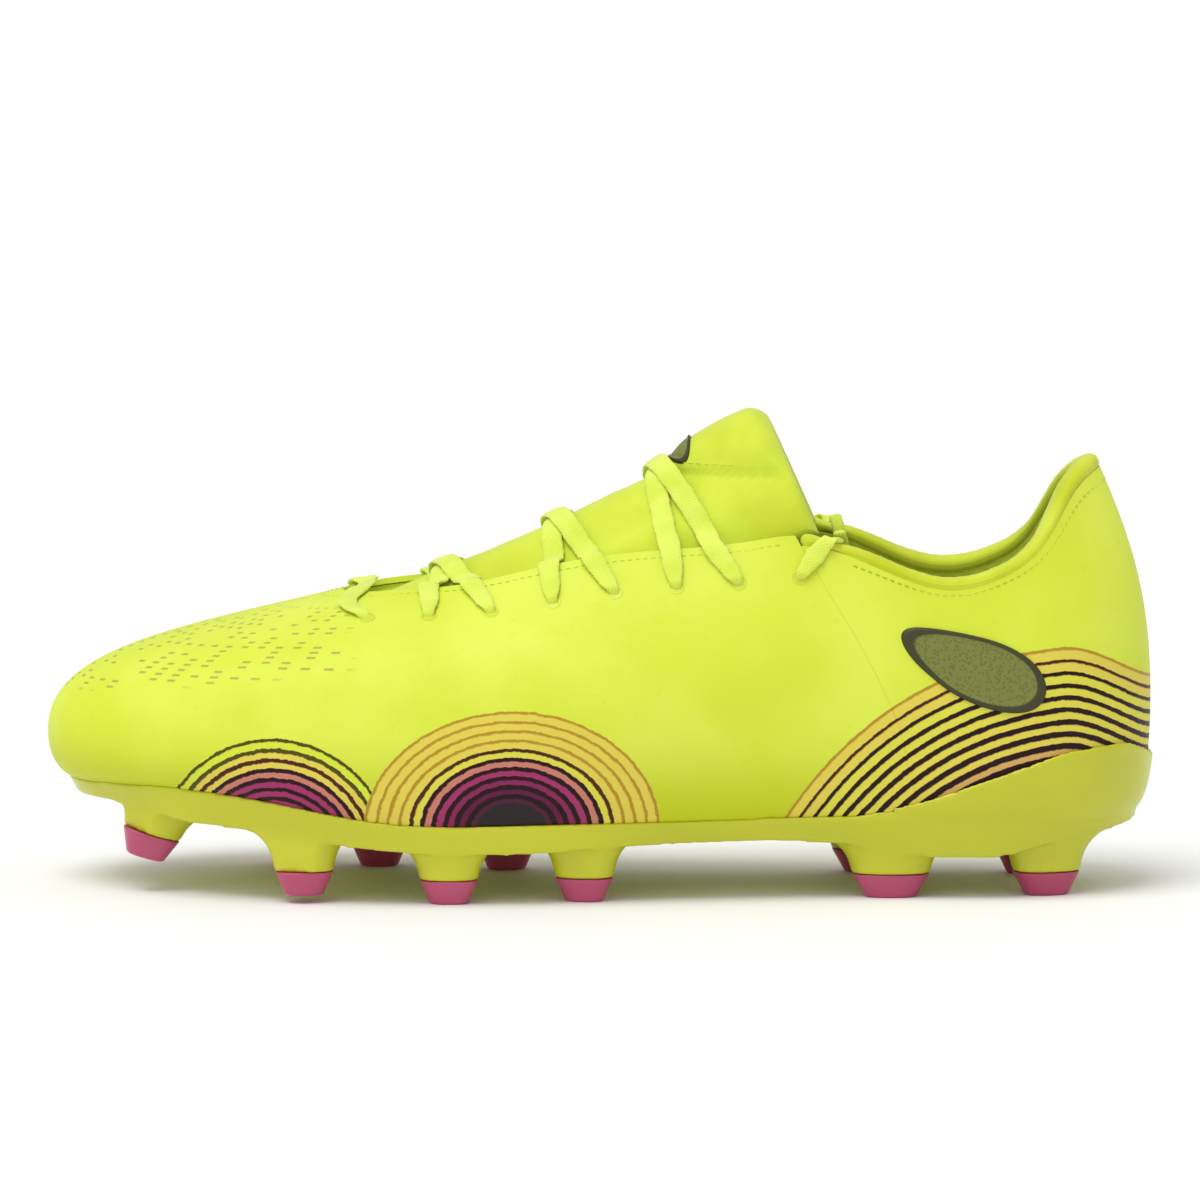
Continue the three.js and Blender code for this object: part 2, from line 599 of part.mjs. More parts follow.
// ---------------------------------------------------------------- the tongue
// Along the tongue from its stitched end under the vamp to its free top: the ridge, half width, and how far the
// sides drop. Its cross-sections lean with the instep.
const TONGUE = [
  { x: -78, z: 66, w: 10, drop: 3.5 },
  { x: -62, z: 72.3, w: 12, drop: 5.5 },
  { x: -44, z: 80.3, w: 14.5, drop: 11.5 },
  { x: -26, z: 87.6, w: 16.6, drop: 18 },
  { x: -8, z: 95.6, w: 18, drop: 23 },
  { x: 5, z: 102.2, w: 18.6, drop: 26 },
  { x: 14.5, z: 107.2, w: 18.8, drop: 27.5 },
  { x: 23.5, z: 113.7, w: 19, drop: 28.5 },
  { x: 33, z: 119.3, w: 19, drop: 29 },
  { x: 43, z: 123.5, w: 18.6, drop: 28.5 },
];
const TONGUE_MIDDLE = 1.2; // y of the ridge
const TONGUE_LEAN = THREE.MathUtils.degToRad(24);
const TONGUE_BADGE = { ts: [0.735, 0.805], shares: [-0.36, 0, 0.36], depths: [-0.65, -0.3] };
const tongueCurve = (pick) =>
  new THREE.CatmullRomCurve3(TONGUE.map((section) => new THREE.Vector3(...pick(section))));
const ridgeCurve = tongueCurve(({ x, z }) => [x, TONGUE_MIDDLE, z]);
const widthCurve = tongueCurve(({ w, drop }) => [w, drop, 0]);

// a runs from -1 at the outer edge, over the ridge at 0, to 1 at the inner edge.
function tongueFace(t, a) {
  const { x: halfWidth, y: drop } = widthCurve.getPoint(t);
  const fall = drop * Math.abs(a) ** 2.6;
  return ridgeCurve.getPoint(t)
    .add(new THREE.Vector3(fall * Math.sin(TONGUE_LEAN), halfWidth * a, -fall * Math.cos(TONGUE_LEAN)));
}

function tonguePoint(t, a, depth) {
  const alongT = tongueFace(Math.min(1, t + 0.01), a).sub(tongueFace(Math.max(0, t - 0.01), a));
  const across = tongueFace(t, Math.min(1, a + 0.02)).sub(tongueFace(t, Math.max(-1, a - 0.02)));
  return tongueFace(t, a).addScaledVector(alongT.cross(across).normalize(), -depth);
}

// The pad is thin under the laces and plump at its free top.
const padThickness = (t) => 1.6 + 2.2 * smooth(0.5, 0.8, t);

function tonguePanel(ts, from, to) {
  const across = [-1, -0.85, -0.62, -0.36, 0, 0.36, 0.62, 0.85, 1];
  const pair = (t, a) => [tonguePoint(t, a, from(t)), tonguePoint(t, a, to(t))];
  return blockGeometry(ts.map((t) => across.map((a) => pair(t, a))));
}

function addTongue() {
  const padFrom = () => TONGUE_FACE + GAP;
  const padTo = (t) => padFrom() + padThickness(t);
  const layers = [
    ["face", () => 0, () => TONGUE_FACE, LIME_TEXTILE],
    ["pad", padFrom, padTo, FOAM],
    ["lining", (t) => padTo(t) + GAP, (t) => padTo(t) + GAP + TONGUE_LINING, LIME_TEXTILE],
  ];
  const held = [0, 0.1, 0.22, 0.34, 0.46, 0.56, 0.65, 0.74, FOLD_T - FOLD_SLIT / 2];
  const free = [FOLD_T + FOLD_SLIT / 2, 0.92, 1];
  for (const [layer, from, to, material] of layers) {
    add(`tongue_${layer}`, tonguePanel(held, from, to), material);
    add(`tongue_top_${layer}`, tonguePanel(free, from, to), material);
  }
  const badge = TONGUE_BADGE.ts.map((t) =>
    TONGUE_BADGE.shares.map((a) => TONGUE_BADGE.depths.map((depth) => tonguePoint(t, a, depth))),
  );
  add("tongue_badge", blockGeometry(badge), BADGE);
}

// ---------------------------------------------------------------- the lace
// The tongue section that leans through a point.
function tongueSectionOf(point) {
  let [low, high] = [0, 1];
  for (let k = 0; k < 30; k++) {
    const middle = (low + high) / 2;
    const ridge = ridgeCurve.getPoint(middle);
    const ahead = (point.x - ridge.x) * Math.cos(TONGUE_LEAN) + (point.z - ridge.z) * Math.sin(TONGUE_LEAN);
    if (ahead > 0) low = middle;
    else high = middle;
  }
  return low;
}

// A station of the lace: where it is, which way its width lies, and how wide and thick it is there.
const station = (at, across, width = LACE_WIDTH, thick = LACE_THICK) => ({ at, across, width, thick });
const rowDirection = (p, side) =>
  lastPoint(p - side * 0.1, EYELET_V).sub(lastPoint(p + side * 0.1, EYELET_V)).normalize();

// Where the lace leaves an eyelet and heads for the topline at the loop coordinate goal, from the outside in.
function throughEyelet(side, number, goal) {
  const p = eyeletOf(side, number);
  const along = rowDirection(p, side);
  const over = (share, width, thick) => {
    const [q, v] = [THREE.MathUtils.lerp(p, goal, share), THREE.MathUtils.lerp(EYELET_V, EDGE_V, share)];
    return station(skinPoint(q, v, -LACE_OVER), along, width, thick);
  };
  return [
    over(0.56),
    over(0.28, 3.8),
    over(0.07, LACE_BUNCHED, 1.4),
    station(skinPoint(p, EYELET_V, 0.8), along, LACE_BUNCHED, 1.4),
    station(skinPoint(p, EYELET_V, LINING_DEPTH + LINING + 0.6), along, LACE_BUNCHED, 1.4),
  ];
}

// The loop coordinate where the topline crosses a section of the tongue.
function edgeColumn(section, side) {
  let [low, high] = [0.5, 9];
  const from = (middle) => (side > 0 ? LOOP - middle : middle);
  for (let k = 0; k < 30; k++) {
    const middle = (low + high) / 2;
    if (tongueSectionOf(skinPoint(from(middle), EDGE_V, 0)) < section) low = middle;
    else high = middle;
  }
  return from(low);
}

// Over the throat, from an outer eyelet to an inner one, pulled straight where the tongue lies lower than its edges.
// Where two spans cross, lift raises the upper one.
function overThroat(outerNumber, innerNumber, lift) {
  const sides = [[-1, outerNumber], [1, innerNumber]];
  const sections = sides.map(([side, number]) => tongueSectionOf(skinPoint(eyeletOf(side, number), EYELET_V, 0)));
  const sectionAt = (share) => THREE.MathUtils.lerp(...sections, share);
  const goals = [edgeColumn(sectionAt(0.16), -1), edgeColumn(sectionAt(0.84), 1)];
  const [start, end] = sides.map(([side], k) =>
    station(skinPoint(goals[k], EDGE_V, -LACE_OVER), rowDirection(eyeletOf(...sides[k]), side)),
  );
  const middle = [-0.88, -0.76, -0.62, -0.45, -0.2, 0.2, 0.45, 0.62, 0.76, 0.88].map((a) => {
    const t = sectionAt(0.5 + 0.34 * a);
    const above = LACE_OVER + lift * (1 - smooth(0.3, 0.85, Math.abs(a)));
    const at = tonguePoint(t, a, -above);
    const across = tonguePoint(Math.min(1, t + 0.03), a, -above).sub(at).normalize();
    const straight = start.at.clone().lerp(end.at, (at.y - start.at.y) / (end.at.y - start.at.y));
    return station(straight.z > at.z ? straight : at, across);
  });
  const clear = 1.5; // of the topline, in y
  return [
    ...throughEyelet(-1, outerNumber, goals[0]).reverse(),
    start,
    ...middle.filter(({ at }) => at.y > start.at.y + clear && at.y < end.at.y - clear),
    end,
    ...throughEyelet(1, innerNumber, goals[1]),
  ];
}

// Along the inside of the lining from one eyelet to the next.
function underRun(side, from, to) {
  const depth = LINING_DEPTH + LINING + 1.6;
  return [0.18, 0.5, 0.82].map((share) => {
    const p = THREE.MathUtils.lerp(eyeletOf(side, from), eyeletOf(side, to), share);
    const at = skinPoint(p, EYELET_V, depth);
    return station(at, skinPoint(p, EYELET_V + 0.05, depth).sub(at).normalize(), 3.4, 1.2);
  });
}

const reversed = (stations) => [...stations].reverse();

// Up from the last eyelet and over the collar's edge, where the free end begins.
function lastRise(side) {
  const p = eyeletOf(side, EYELETS);
  const goal = p - side * 0.45;
  const along = rowDirection(p, side);
  const inside = skinPoint(p - side * 0.52, 1, 1.4).add(new THREE.Vector3(0, 0, 1.6));
  return [
    ...reversed(throughEyelet(side, EYELETS, goal)),
    station(skinPoint(goal, EDGE_V, -LACE_OVER), along, 3.6),
    station(inside, along, 3.6),
  ];
}

// A ribbon through the stations, with its flat side along each station's across.
function ribbon(stations) {
  const curve = new THREE.CatmullRomCurve3(stations.map(({ at }) => at), false, "centripetal");
  const last = stations.length - 1;
  const rings = stations.map(({ at, across, width, thick }, k) => {
    const along = curve.getTangent(k / last);
    const flat = across.clone().addScaledVector(along, -across.dot(along)).normalize();
    const up = along.clone().cross(flat);
    const corner = (u, v) => at.clone().addScaledVector(flat, (u * width) / 2).addScaledVector(up, (v * thick) / 2);
    return [corner(1, 1), corner(-1, 1), corner(-1, -1), corner(1, -1)];
  });
  return loft(rings);
}

function addLace() {
  const route = [
    ...reversed(lastRise(-1)),
    ...underRun(-1, 8, 7),
    ...overThroat(7, 6, LACE_LIFT),
    ...underRun(1, 6, 5),
    ...reversed(overThroat(4, 5, 0)),
    ...underRun(-1, 4, 3),
    ...overThroat(3, 2, LACE_LIFT),
    ...underRun(1, 2, 1),
    ...reversed(overThroat(1, 1, 0)),
    ...underRun(-1, 1, 2),
    ...overThroat(2, 3, 0),
    ...underRun(1, 3, 4),
    ...reversed(overThroat(5, 4, LACE_LIFT)),
    ...underRun(-1, 5, 6),
    ...overThroat(6, 7, 0),
    ...underRun(1, 7, 8),
    ...lastRise(1),
  ];
  add("lace", ribbon(route), LACE);
}

// The free ends: over the collar, down its lining, and in a loop on the sockliner.
const TAILS = {
  outer: {
    hang: [[61.5, -20.5, 94.8], [62.6, -17.6, 90], [63.3, -17, 78], [63.8, -17.2, 62], [65, -17.4, 46]],
    loop: [[67, -17.2, 36], [72, -16, 31.2], [80, -15.6, 29.8], [92, -15.4, 29.6], [104, -13.5, 29.6],
      [112.5, -7, 29.6],
      [114.5, 1, 29.6], [110.5, 9, 29.6], [101, 13.6, 29.6], [89, 14.6, 29.6], [77, 13, 29.6], [69, 7.5, 29.6],
      [67, -1, 29.6], [71.5, -8, 29.6], [81, -9.8, 29.6], [93, -8.6, 29.6]],
    aglet: [[94.5, -8.4, 29.6], [110, -4.2, 29.6]],
  },
  inner: {
    hang: [[61.5, 20.9, 94.8], [62.6, 18.2, 90], [62.4, 17.6, 78], [61, 17.6, 62], [58, 17.4, 46]],
    loop: [[54.5, 17, 36], [48, 15.8, 30.6], [39, 15, 29.3], [27, 15, 29], [15, 14.4, 28.9], [5, 10.6, 28.8],
      [-0.5, 2.6, 28.8], [1.4, -6.4, 28.8], [9, -12, 28.8], [20, -13.4, 28.9], [31, -12.4, 29], [40, -8, 29.2],
      [43, 0, 29.2], [38, 7, 29.2], [28, 8.8, 29], [16.5, 7.5, 28.9]],
    aglet: [[15.9, 7.2, 28.9], [2.6, 0.4, 28.8]],
  },
};

function cord(points, diameter) {
  const knots = points.map((point) => new THREE.Vector3(...point));
  const curve = new THREE.CatmullRomCurve3(knots, false, "centripetal");
  const section = new THREE.Shape(
    range(0, 5).map((k) => {
      const angle = (k * Math.PI) / 3;
      return new THREE.Vector2(Math.cos(angle), Math.sin(angle)).multiplyScalar(diameter / 2);
    }),
  );
  return new THREE.ExtrudeGeometry(section, { steps: Math.round(1.4 * (points.length - 1)), extrudePath: curve });
}

function addTails() {
  for (const [side, { hang, loop, aglet }] of Object.entries(TAILS)) {
    add(`lace_end_${side}`, cord(hang, 2.4), LACE);
    add(`lace_loop_${side}`, cord(loop, 2.4), LACE);
    add(`aglet_${side}`, cord(aglet, 2.8), AGLET);
  }
}

addUpper();
addBottom();
addTongue();
addLace();
addTails();
cleat.position.set(...ORIGIN);

export default cleat;
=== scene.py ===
"""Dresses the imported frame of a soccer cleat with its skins, linings, tongue, lace, plate and stud tips.

Shapes are worked out in millimetres, in the same coordinates as the part's source, and become metres in the
frame's own coordinates when a mesh is made. The toe points to -X and the outer side to -Y.
"""
import math

import bmesh
import bpy
import numpy as np
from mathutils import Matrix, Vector
from mathutils.kdtree import KDTree


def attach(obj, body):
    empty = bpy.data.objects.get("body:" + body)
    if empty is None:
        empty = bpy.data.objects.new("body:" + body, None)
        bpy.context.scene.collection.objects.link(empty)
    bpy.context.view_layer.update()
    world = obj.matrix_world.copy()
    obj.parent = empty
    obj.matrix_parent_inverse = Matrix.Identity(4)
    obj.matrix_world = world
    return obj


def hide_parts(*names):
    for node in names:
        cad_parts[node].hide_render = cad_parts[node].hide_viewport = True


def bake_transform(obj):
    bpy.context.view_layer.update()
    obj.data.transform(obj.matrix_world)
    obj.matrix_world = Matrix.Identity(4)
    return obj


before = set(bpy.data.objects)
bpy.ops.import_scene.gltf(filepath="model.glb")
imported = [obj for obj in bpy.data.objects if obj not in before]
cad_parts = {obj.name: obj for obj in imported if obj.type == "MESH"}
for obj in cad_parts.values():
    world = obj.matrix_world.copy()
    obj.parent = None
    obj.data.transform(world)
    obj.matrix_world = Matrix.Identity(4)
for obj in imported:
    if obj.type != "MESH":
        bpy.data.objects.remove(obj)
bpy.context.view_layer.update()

ORIGIN = np.array([-0.1, -1.5, 0.0])  # from the source's coordinates to the frame's
SHOE, TONGUE_TOP, SOCKLINER = "shoe", "tongue_top", "sockliner"

# ---------------------------------------------------------------- dimensions shared with the part's source
GAP = 0.35  # between layers
SKIN = 1.5
LINING_DEPTH = 3.0
LINING = 0.8
COLLAR_PAD = 2.4
EYELETS = 8
EYELET_FRONT = -59
EYELET_PITCH = 15.8
EYELET_V = 0.83
PLATE_LEDGE = 1.8
TIP_HEIGHT = 6.2
GIRTH_V = 0.24
BINDING_V = 0.955
SEAM = 8

# Strips of the upper from toe to heel: skew, the feather line's x, middle, half width and height, the
# girth's outset and height, the topline's x, middle, half width and height, and the curve's rise, reach
# and slope.
STRIPS = [
    (0, -135.5, 9, 0, 26.5, 7.3, 39, -66, 2, 0, 76.5, 21, 46, 14),
    (1, -127.5, 8.5, 18, 27.2, 6.9, 39, -65.3, 2, 3, 76.5, 21, 43, 14),
    (3, -109, 6.5, 33, 27.8, 6, 39, -63.3, 2, 6.3, 76.6, 21, 38, 14),
    (6, -88, 4, 40.5, 25.3, 4.8, 38, -59.5, 2, 9.5, 77, 22, 31, 15),
    (8, -62, 1.5, 43.5, 20.8, 4.2, 36.5, -51.5, 2, 12.5, 78, 23, 24, 18),
    (6, -24, -1.5, 40, 20.2, 4.2, 38, -32, 1.8, 17, 80.6, 24, 20, 30),
    (2, 14, -2.5, 33, 20.3, 4.8, 41, 2, 1.4, 20.2, 87.6, 24, 18, 48),
    (0, 44, -1.5, 29.8, 20.7, 4.6, 43, 37, 0.8, 23.5, 91.2, 24, 17, 63),
    (0, 63, -0.6, 29.6, 21, 4, 44, 57.5, 0.3, 26.2, 92.6, 22, 17, 76),
    (0, 85, 0, 30.4, 21, 3.4, 45, 84, 0, 28.6, 82.6, 16, 12, 80),
    (0, 102, 0, 30.2, 21, 3.4, 46, 100, 0, 27, 83.6, 16, 12, 78),
    (0, 118, 0, 26.5, 21, 3.8, 47, 112.8, 0, 21.5, 92.2, 20, 16, 75),
    (0, 131, 0, 16.5, 21, 4.5, 48, 121.4, 0, 11.8, 106.6, 25, 22, 72),
    (0, 138, 0, 0, 21, 4.7, 48.6, 127.7, 0, 0, 112.2, 27, 24, 66),
]
HEEL = len(STRIPS) - 1
LOOP = 2 * HEEL

# Along the tongue: the ridge's x and z, the half width, and how far the sides drop.
TONGUE = [
    (-78, 66, 10, 3.5),
    (-62, 72.3, 12, 5.5),
    (-44, 80.3, 14.5, 11.5),
    (-26, 87.6, 16.6, 18),
    (-8, 95.6, 18, 23),
    (5, 102.2, 18.6, 26),
    (14.5, 107.2, 18.8, 27.5),
    (23.5, 113.7, 19, 28.5),
    (33, 119.3, 19, 29),
    (43, 123.5, 18.6, 28.5),
]
TONGUE_MIDDLE = 1.2
TONGUE_LEAN = math.radians(24)

# From the feather line to the plate's underside, by strip, and the height of the heel cup's rim by strip.
PLATE_DROP = (3.6, 4.4, 8.6, 8.2, 6.8, 7.2, 5.4, 5.4, 6.8, 10.4, 10.6, 6.6, 5, 4)
CUP_RIM = {8: 21.2, 9: 26.5, 10: 32.5, 11: 38.5, 12: 39.8, 13: 34}
CUP_FRONT = 8.1  # the column where the cup's wall begins on the outer side
CUP_TUCK = 2.5  # how far the wall runs down below the feather line, into the plate

# Studs: x, y, height of the tip's sole, turn in degrees, tilt, half sizes.
STUDS = {
    "toe_outer": (-114.8, -14, 9, 8, 0.3, 7.2, 5.8),
    "toe_inner": (-114.8, 26, 9.2, -10, 0.3, 7.2, 5.8),
    "front_outer": (-75, -33, 2, 12, 0, 7.5, 5.8),
    "front_inner": (-80, 35, 2, -8, 0, 7.5, 5.8),
    "ball_outer": (-38, -34.5, 0, 0, 0, 7.5, 5.8),
    "ball_inner": (-57.5, 33, 0, 6, 0, 7.5, 5.8),
    "mid_outer": (-3.5, -30, 0, -8, 0, 7.5, 5.8),
    "mid_inner": (-24, 26.5, 0, 12, 0, 7.5, 5.8),
    "heel_front_outer": (75, -22.5, 0, 0, 0, 10, 6.2),
    "heel_front_inner": (71, 22.5, 0, 0, 0, 10, 6.2),
    "heel_back_outer": (115, -18.5, 0, 14, 0, 8.7, 6),
    "heel_back_inner": (112.5, 19, 0, -14, 0, 8.7, 6),
}

# The lace's free ends, over the collar, down its lining and in a loop on the sockliner.
TAILS = {
    "outer": {
        "hang": [(61.5, -20.5, 93.9), (62.6, -17.6, 90), (63.3, -17, 78), (63.8, -17.2, 62), (65, -17.4, 46)],
        "loop": [
            (67, -17.2, 36), (72, -16, 31.2), (80, -15.6, 29.8), (92, -15.4, 29.6), (104, -13.5, 29.6),
            (112.5, -7, 29.6), (114.5, 1, 29.6), (110.5, 9, 29.6), (101, 13.6, 29.6), (89, 14.6, 29.6),
            (77, 13, 29.6), (69, 7.5, 29.6), (67, -1, 29.6), (71.5, -8, 29.6), (81, -9.8, 29.6),
            (93, -8.6, 29.6),
        ],
        "aglet": [(94.5, -8.4, 29.6), (110, -4.2, 29.6)],
    },
    "inner": {
        "hang": [(61.5, 20.9, 93.9), (62.6, 18.2, 90), (62.4, 17.6, 78), (61, 17.6, 62), (58, 17.4, 46)],
        "loop": [
            (54.5, 17, 36), (48, 15.8, 30.6), (39, 15, 29.3), (27, 15, 29), (15, 14.4, 28.9), (5, 10.6, 28.8),
            (-0.5, 2.6, 28.8), (1.4, -6.4, 28.8), (9, -12, 28.8), (20, -13.4, 28.9), (31, -12.4, 29),
            (40, -8, 29.2), (43, 0, 29.2), (38, 7, 29.2), (28, 8.8, 29), (16.5, 7.5, 28.9),
        ],
        "aglet": [(15.9, 7.2, 28.9), (2.6, 0.4, 28.8)],
    },
}


# ---------------------------------------------------------------- small helpers
def to_frame(points):
    """Millimetres in the source's coordinates as metres in the frame's."""
    return (np.asarray(points, float) + ORIGIN) / 1000


def unit(vectors):
    return vectors / np.linalg.norm(vectors, axis=-1, keepdims=True)


def smooth(low, high, value):
    share = np.clip((value - low) / (high - low), 0, 1)
    return share * share * (3 - 2 * share)


def scaled(vectors, amounts):
    return vectors * np.asarray(amounts, float)[..., None]


def run_along(points):
    """How far along a line each of its points is."""
    return np.concatenate([[0], np.cumsum(np.linalg.norm(np.diff(points, axis=0), axis=1))])


def rounded(near, radius, least):
    """The share of its full size that a piece has so near an end that is rounded over a radius."""
    return np.sqrt(np.clip(1 - (1 - np.clip(near / radius, 0, 1)) ** 2, least, 1))


def squarish(values, power):
    """Sines or cosines bent so that the circle they draw has flatter sides."""
    return np.sign(values) * np.abs(values) ** power


def circle(count):
    around = np.linspace(0, 2 * np.pi, count, endpoint=False)
    return np.cos(around), np.sin(around)


def swept(centre, right, up, across, high):
    """Rings round each point of a line, from offsets of each ring's points to the right and up."""
    return centre[:, None] + scaled(right[:, None], across) + scaled(up[:, None], high)


def bisect(low, high, is_before):
    for _ in range(30):
        middle = (low + high) / 2
        if is_before(middle):
            low = middle
        else:
            high = middle
    return low


def catmull(points):
    """A centripetal Catmull-Rom curve through the points, as a function of its parameter from 0 to 1."""
    points = np.asarray(points, float)
    ends = np.vstack([2 * points[0] - points[1], points, 2 * points[-1] - points[-2]])
    gaps = np.sqrt(np.linalg.norm(np.diff(ends, axis=0), axis=1))

    def at(t):
        place = np.clip(t, 0, 1) * (len(points) - 1)
        k = np.minimum(np.asarray(place).astype(int), len(points) - 2)
        w = np.asarray(place - k)[..., None]
        x0, x1, x2, x3 = (ends[k + i] for i in range(4))
        d0, d1, d2 = (gaps[k + i][..., None] for i in range(3))
        leave = ((x1 - x0) / d0 - (x2 - x0) / (d0 + d1) + (x2 - x1) / d1) * d1
        reach = ((x2 - x1) / d1 - (x3 - x1) / (d1 + d2) + (x3 - x2) / d2) * d1
        bend = 3 * (x2 - x1) - 2 * leave - reach + w * (2 * (x1 - x2) + leave + reach)
        return x1 + w * (leave + w * bend)

    return at


# ---------------------------------------------------------------- the last
def strip_numbers(numbers, side):
    skew, fx, fc, fw, fz, out, girth_z, tx, tc, tw, tz, up, back, slope = numbers
    foot = (fx - side * skew, fc + side * fw, fz)
    top = (tx - side * 0.4 * skew, tc + side * tw, tz)
    return (*foot, out, girth_z, *top, up, back, slope)


LOOP_ROWS = np.array(
    [strip_numbers(s, -1) for s in STRIPS] + [strip_numbers(s, 1) for s in STRIPS[HEEL - 1 : 0 : -1]], float
)
KNOT_STEPS = np.linalg.norm((np.roll(LOOP_ROWS, -1, 0) - LOOP_ROWS)[:, :2], axis=1)


def loop_bends():
    """The second derivatives that make a closed cubic through the loop's rows smooth."""
    before = np.roll(KNOT_STEPS, 1)
    matrix = np.diag(2 * (before + KNOT_STEPS))
    for k in range(LOOP):
        matrix[k, k - 1] += before[k]
        matrix[k, (k + 1) % LOOP] += KNOT_STEPS[k]
    slopes = (np.roll(LOOP_ROWS, -1, 0) - LOOP_ROWS) / KNOT_STEPS[:, None]
    return np.linalg.solve(matrix, 6 * (slopes - np.roll(slopes, 1, 0)))


LOOP_BENDS = loop_bends()


def strip(p):
    """The strip's numbers at the loop coordinate p: 0 at the toe, HEEL at the heel, LOOP at the toe again."""
    wrapped = np.mod(p, LOOP)
    k = np.floor(wrapped).astype(int) % LOOP
    part = (wrapped - np.floor(wrapped))[..., None]
    rest = 1 - part
    after = (k + 1) % LOOP
    bend = (rest**3 - rest) * LOOP_BENDS[k] + (part**3 - part) * LOOP_BENDS[after]
    return rest * LOOP_ROWS[k] + part * LOOP_ROWS[after] + bend * (KNOT_STEPS[k][..., None] ** 2 / 6)


def outward(p):
    """The horizontal direction out of the shoe at the feather line."""
    a, b = strip(np.asarray(p) - 0.05), strip(np.asarray(p) + 0.05)
    return unit(np.stack([b[..., 1] - a[..., 1], a[..., 0] - b[..., 0], np.zeros(a.shape[:-1])], -1))


def bezier(a, b, c, d, t):
    t = t[..., None]
    s = 1 - t
    return a * s**3 + b * 3 * s * s * t + c * 3 * s * t * t + d * t**3


def last_point(p, v):
    """A point on the skin's outer face: v runs from the feather line, 0, to the topline, 1."""
    p, v = np.broadcast_arrays(np.asarray(p, float), np.asarray(v, float))
    numbers = strip(p)
    foot, top = numbers[..., 0:3], numbers[..., 5:8]
    out, girth_z, up, back, slope = (numbers[..., k] for k in (3, 4, 8, 9, 10))
    away = outward(p)
    rise = np.array([0, 0, 1.0])
    girth = foot + scaled(away, out)
    girth[..., 2] = girth_z
    under = foot + scaled(away, 0.75 * out) + 2.2 * rise
    below = girth - scaled(rise, 0.45 * (girth_z - foot[..., 2]))
    lower = bezier(foot, under, below, girth, np.clip(v / GIRTH_V, 0, 1))
    inwards = top - girth
    inwards[..., 2] = 0
    angle = np.radians(slope)
    before = top - scaled(unit(inwards), back * np.cos(angle)) - scaled(rise, back * np.sin(angle))
    above = np.clip((v - GIRTH_V) / (1 - GIRTH_V), 0, 1)
    upper = bezier(girth, girth + scaled(rise, up), before, top, above)
    return np.where((v < GIRTH_V)[..., None], lower, upper)


def last_normal(p, v):
    p, v = np.asarray(p), np.asarray(v)
    across = last_point(p + 0.04, v) - last_point(p - 0.04, v)
    upward = last_point(p, np.minimum(1, v + 0.01)) - last_point(p, np.maximum(0, v - 0.01))
    return unit(np.cross(across, upward))


def skin_point(p, v, depth):
    """A point so far below the skin's outer face; a negative depth is outside it."""
    return last_point(p, v) - scaled(last_normal(p, v), depth)


def from_toe(p):
    wrapped = np.mod(p, LOOP)
    return np.minimum(wrapped, LOOP - wrapped)


def leaned(column, v):
    """The columns near the seam between vamp and quarters lean back with it as they go down."""
    share = np.cos(np.pi / 2 * np.minimum(1, np.abs(from_toe(column) - SEAM) / 5)) ** 2
    shift = share * (-0.35 + 1.3 * (1 - v))
    return column + np.where(np.mod(column, LOOP) > HEEL, -shift, shift)


def lining_inner(p, v):
    pad = smooth(SEAM, SEAM + 1, from_toe(p)) * smooth(0.5, 0.76, v)
    return LINING_DEPTH + COLLAR_PAD * pad + LINING


# ---------------------------------------------------------------- meshes
def facing_out(points, faces):
    """The faces, turned over if they enclose a negative volume."""
    volume = 0.0
    for group in faces:
        for k in range(1, group.shape[1] - 1):
            a, b, c = points[group[:, 0]], points[group[:, k]], points[group[:, k + 1]]
            volume += np.einsum("ij,ij->", a, np.cross(b, c))
    return faces if volume > 0 else [group[:, ::-1] for group in faces]


def mesh_from(name, points, faces, attributes=None, sharp=50):
    """A smooth-shaded closed mesh from points in millimetres and groups of faces."""
    points = np.asarray(points, float).reshape(-1, 3)
    faces = facing_out(points, [np.asarray(group) for group in faces])
    mesh = bpy.data.meshes.new(name)
    mesh.from_pydata(to_frame(points).tolist(), [], [face for group in faces for face in group.tolist()])
    for key, values in (attributes or {}).items():
        layer = mesh.attributes.new(key, "FLOAT", "POINT")
        layer.data.foreach_set("value", np.asarray(values, np.float32).ravel())
    mesh.shade_smooth()
    mesh.set_sharp_from_angle(angle=math.radians(sharp))
    return mesh


def object_from(data):
    obj = bpy.data.objects.new(data.name, data)
    bpy.context.scene.collection.objects.link(obj)
    return obj


def shell(front, back):
    """Points and faces of the closed skin round two grids of points that share a border."""
    columns, rows = front.shape[:2]
    count = columns * rows
    index = np.arange(count).reshape(columns, rows)
    a, b, c, d = index[:-1, :-1], index[1:, :-1], index[1:, 1:], index[:-1, 1:]
    faces = [
        np.stack([a, b, c, d], -1).reshape(-1, 4),
        count + np.stack([a, d, c, b], -1).reshape(-1, 4),
    ]
    for edge in (index[:, 0], index[::-1, -1], index[0, ::-1], index[-1]):
        faces.append(np.stack([edge[:-1], edge[:-1] + count, edge[1:] + count, edge[1:]], -1))
    return np.concatenate([front.reshape(-1, 3), back.reshape(-1, 3)]), faces


def loft(rings):
    """Points and faces of a closed loft through rings of points."""
    count, sides = rings.shape[:2]
    index = np.arange(count * sides).reshape(count, sides)
    after = np.roll(index, -1, 1)
    quads = np.stack([index[:-1], after[:-1], after[1:], index[1:]], -1).reshape(-1, 4)
    return rings.reshape(-1, 3), [quads, index[:1, ::-1], index[-1:]]


def joined(parts):
    """Points and faces of several closed meshes as one."""
    points, faces, start = [], [], 0
    for part_points, part_faces in parts:
        turned = facing_out(part_points, part_faces)
        faces += [group + start for group in turned]
        points.append(part_points)
        start += len(part_points)
    return np.concatenate(points), faces


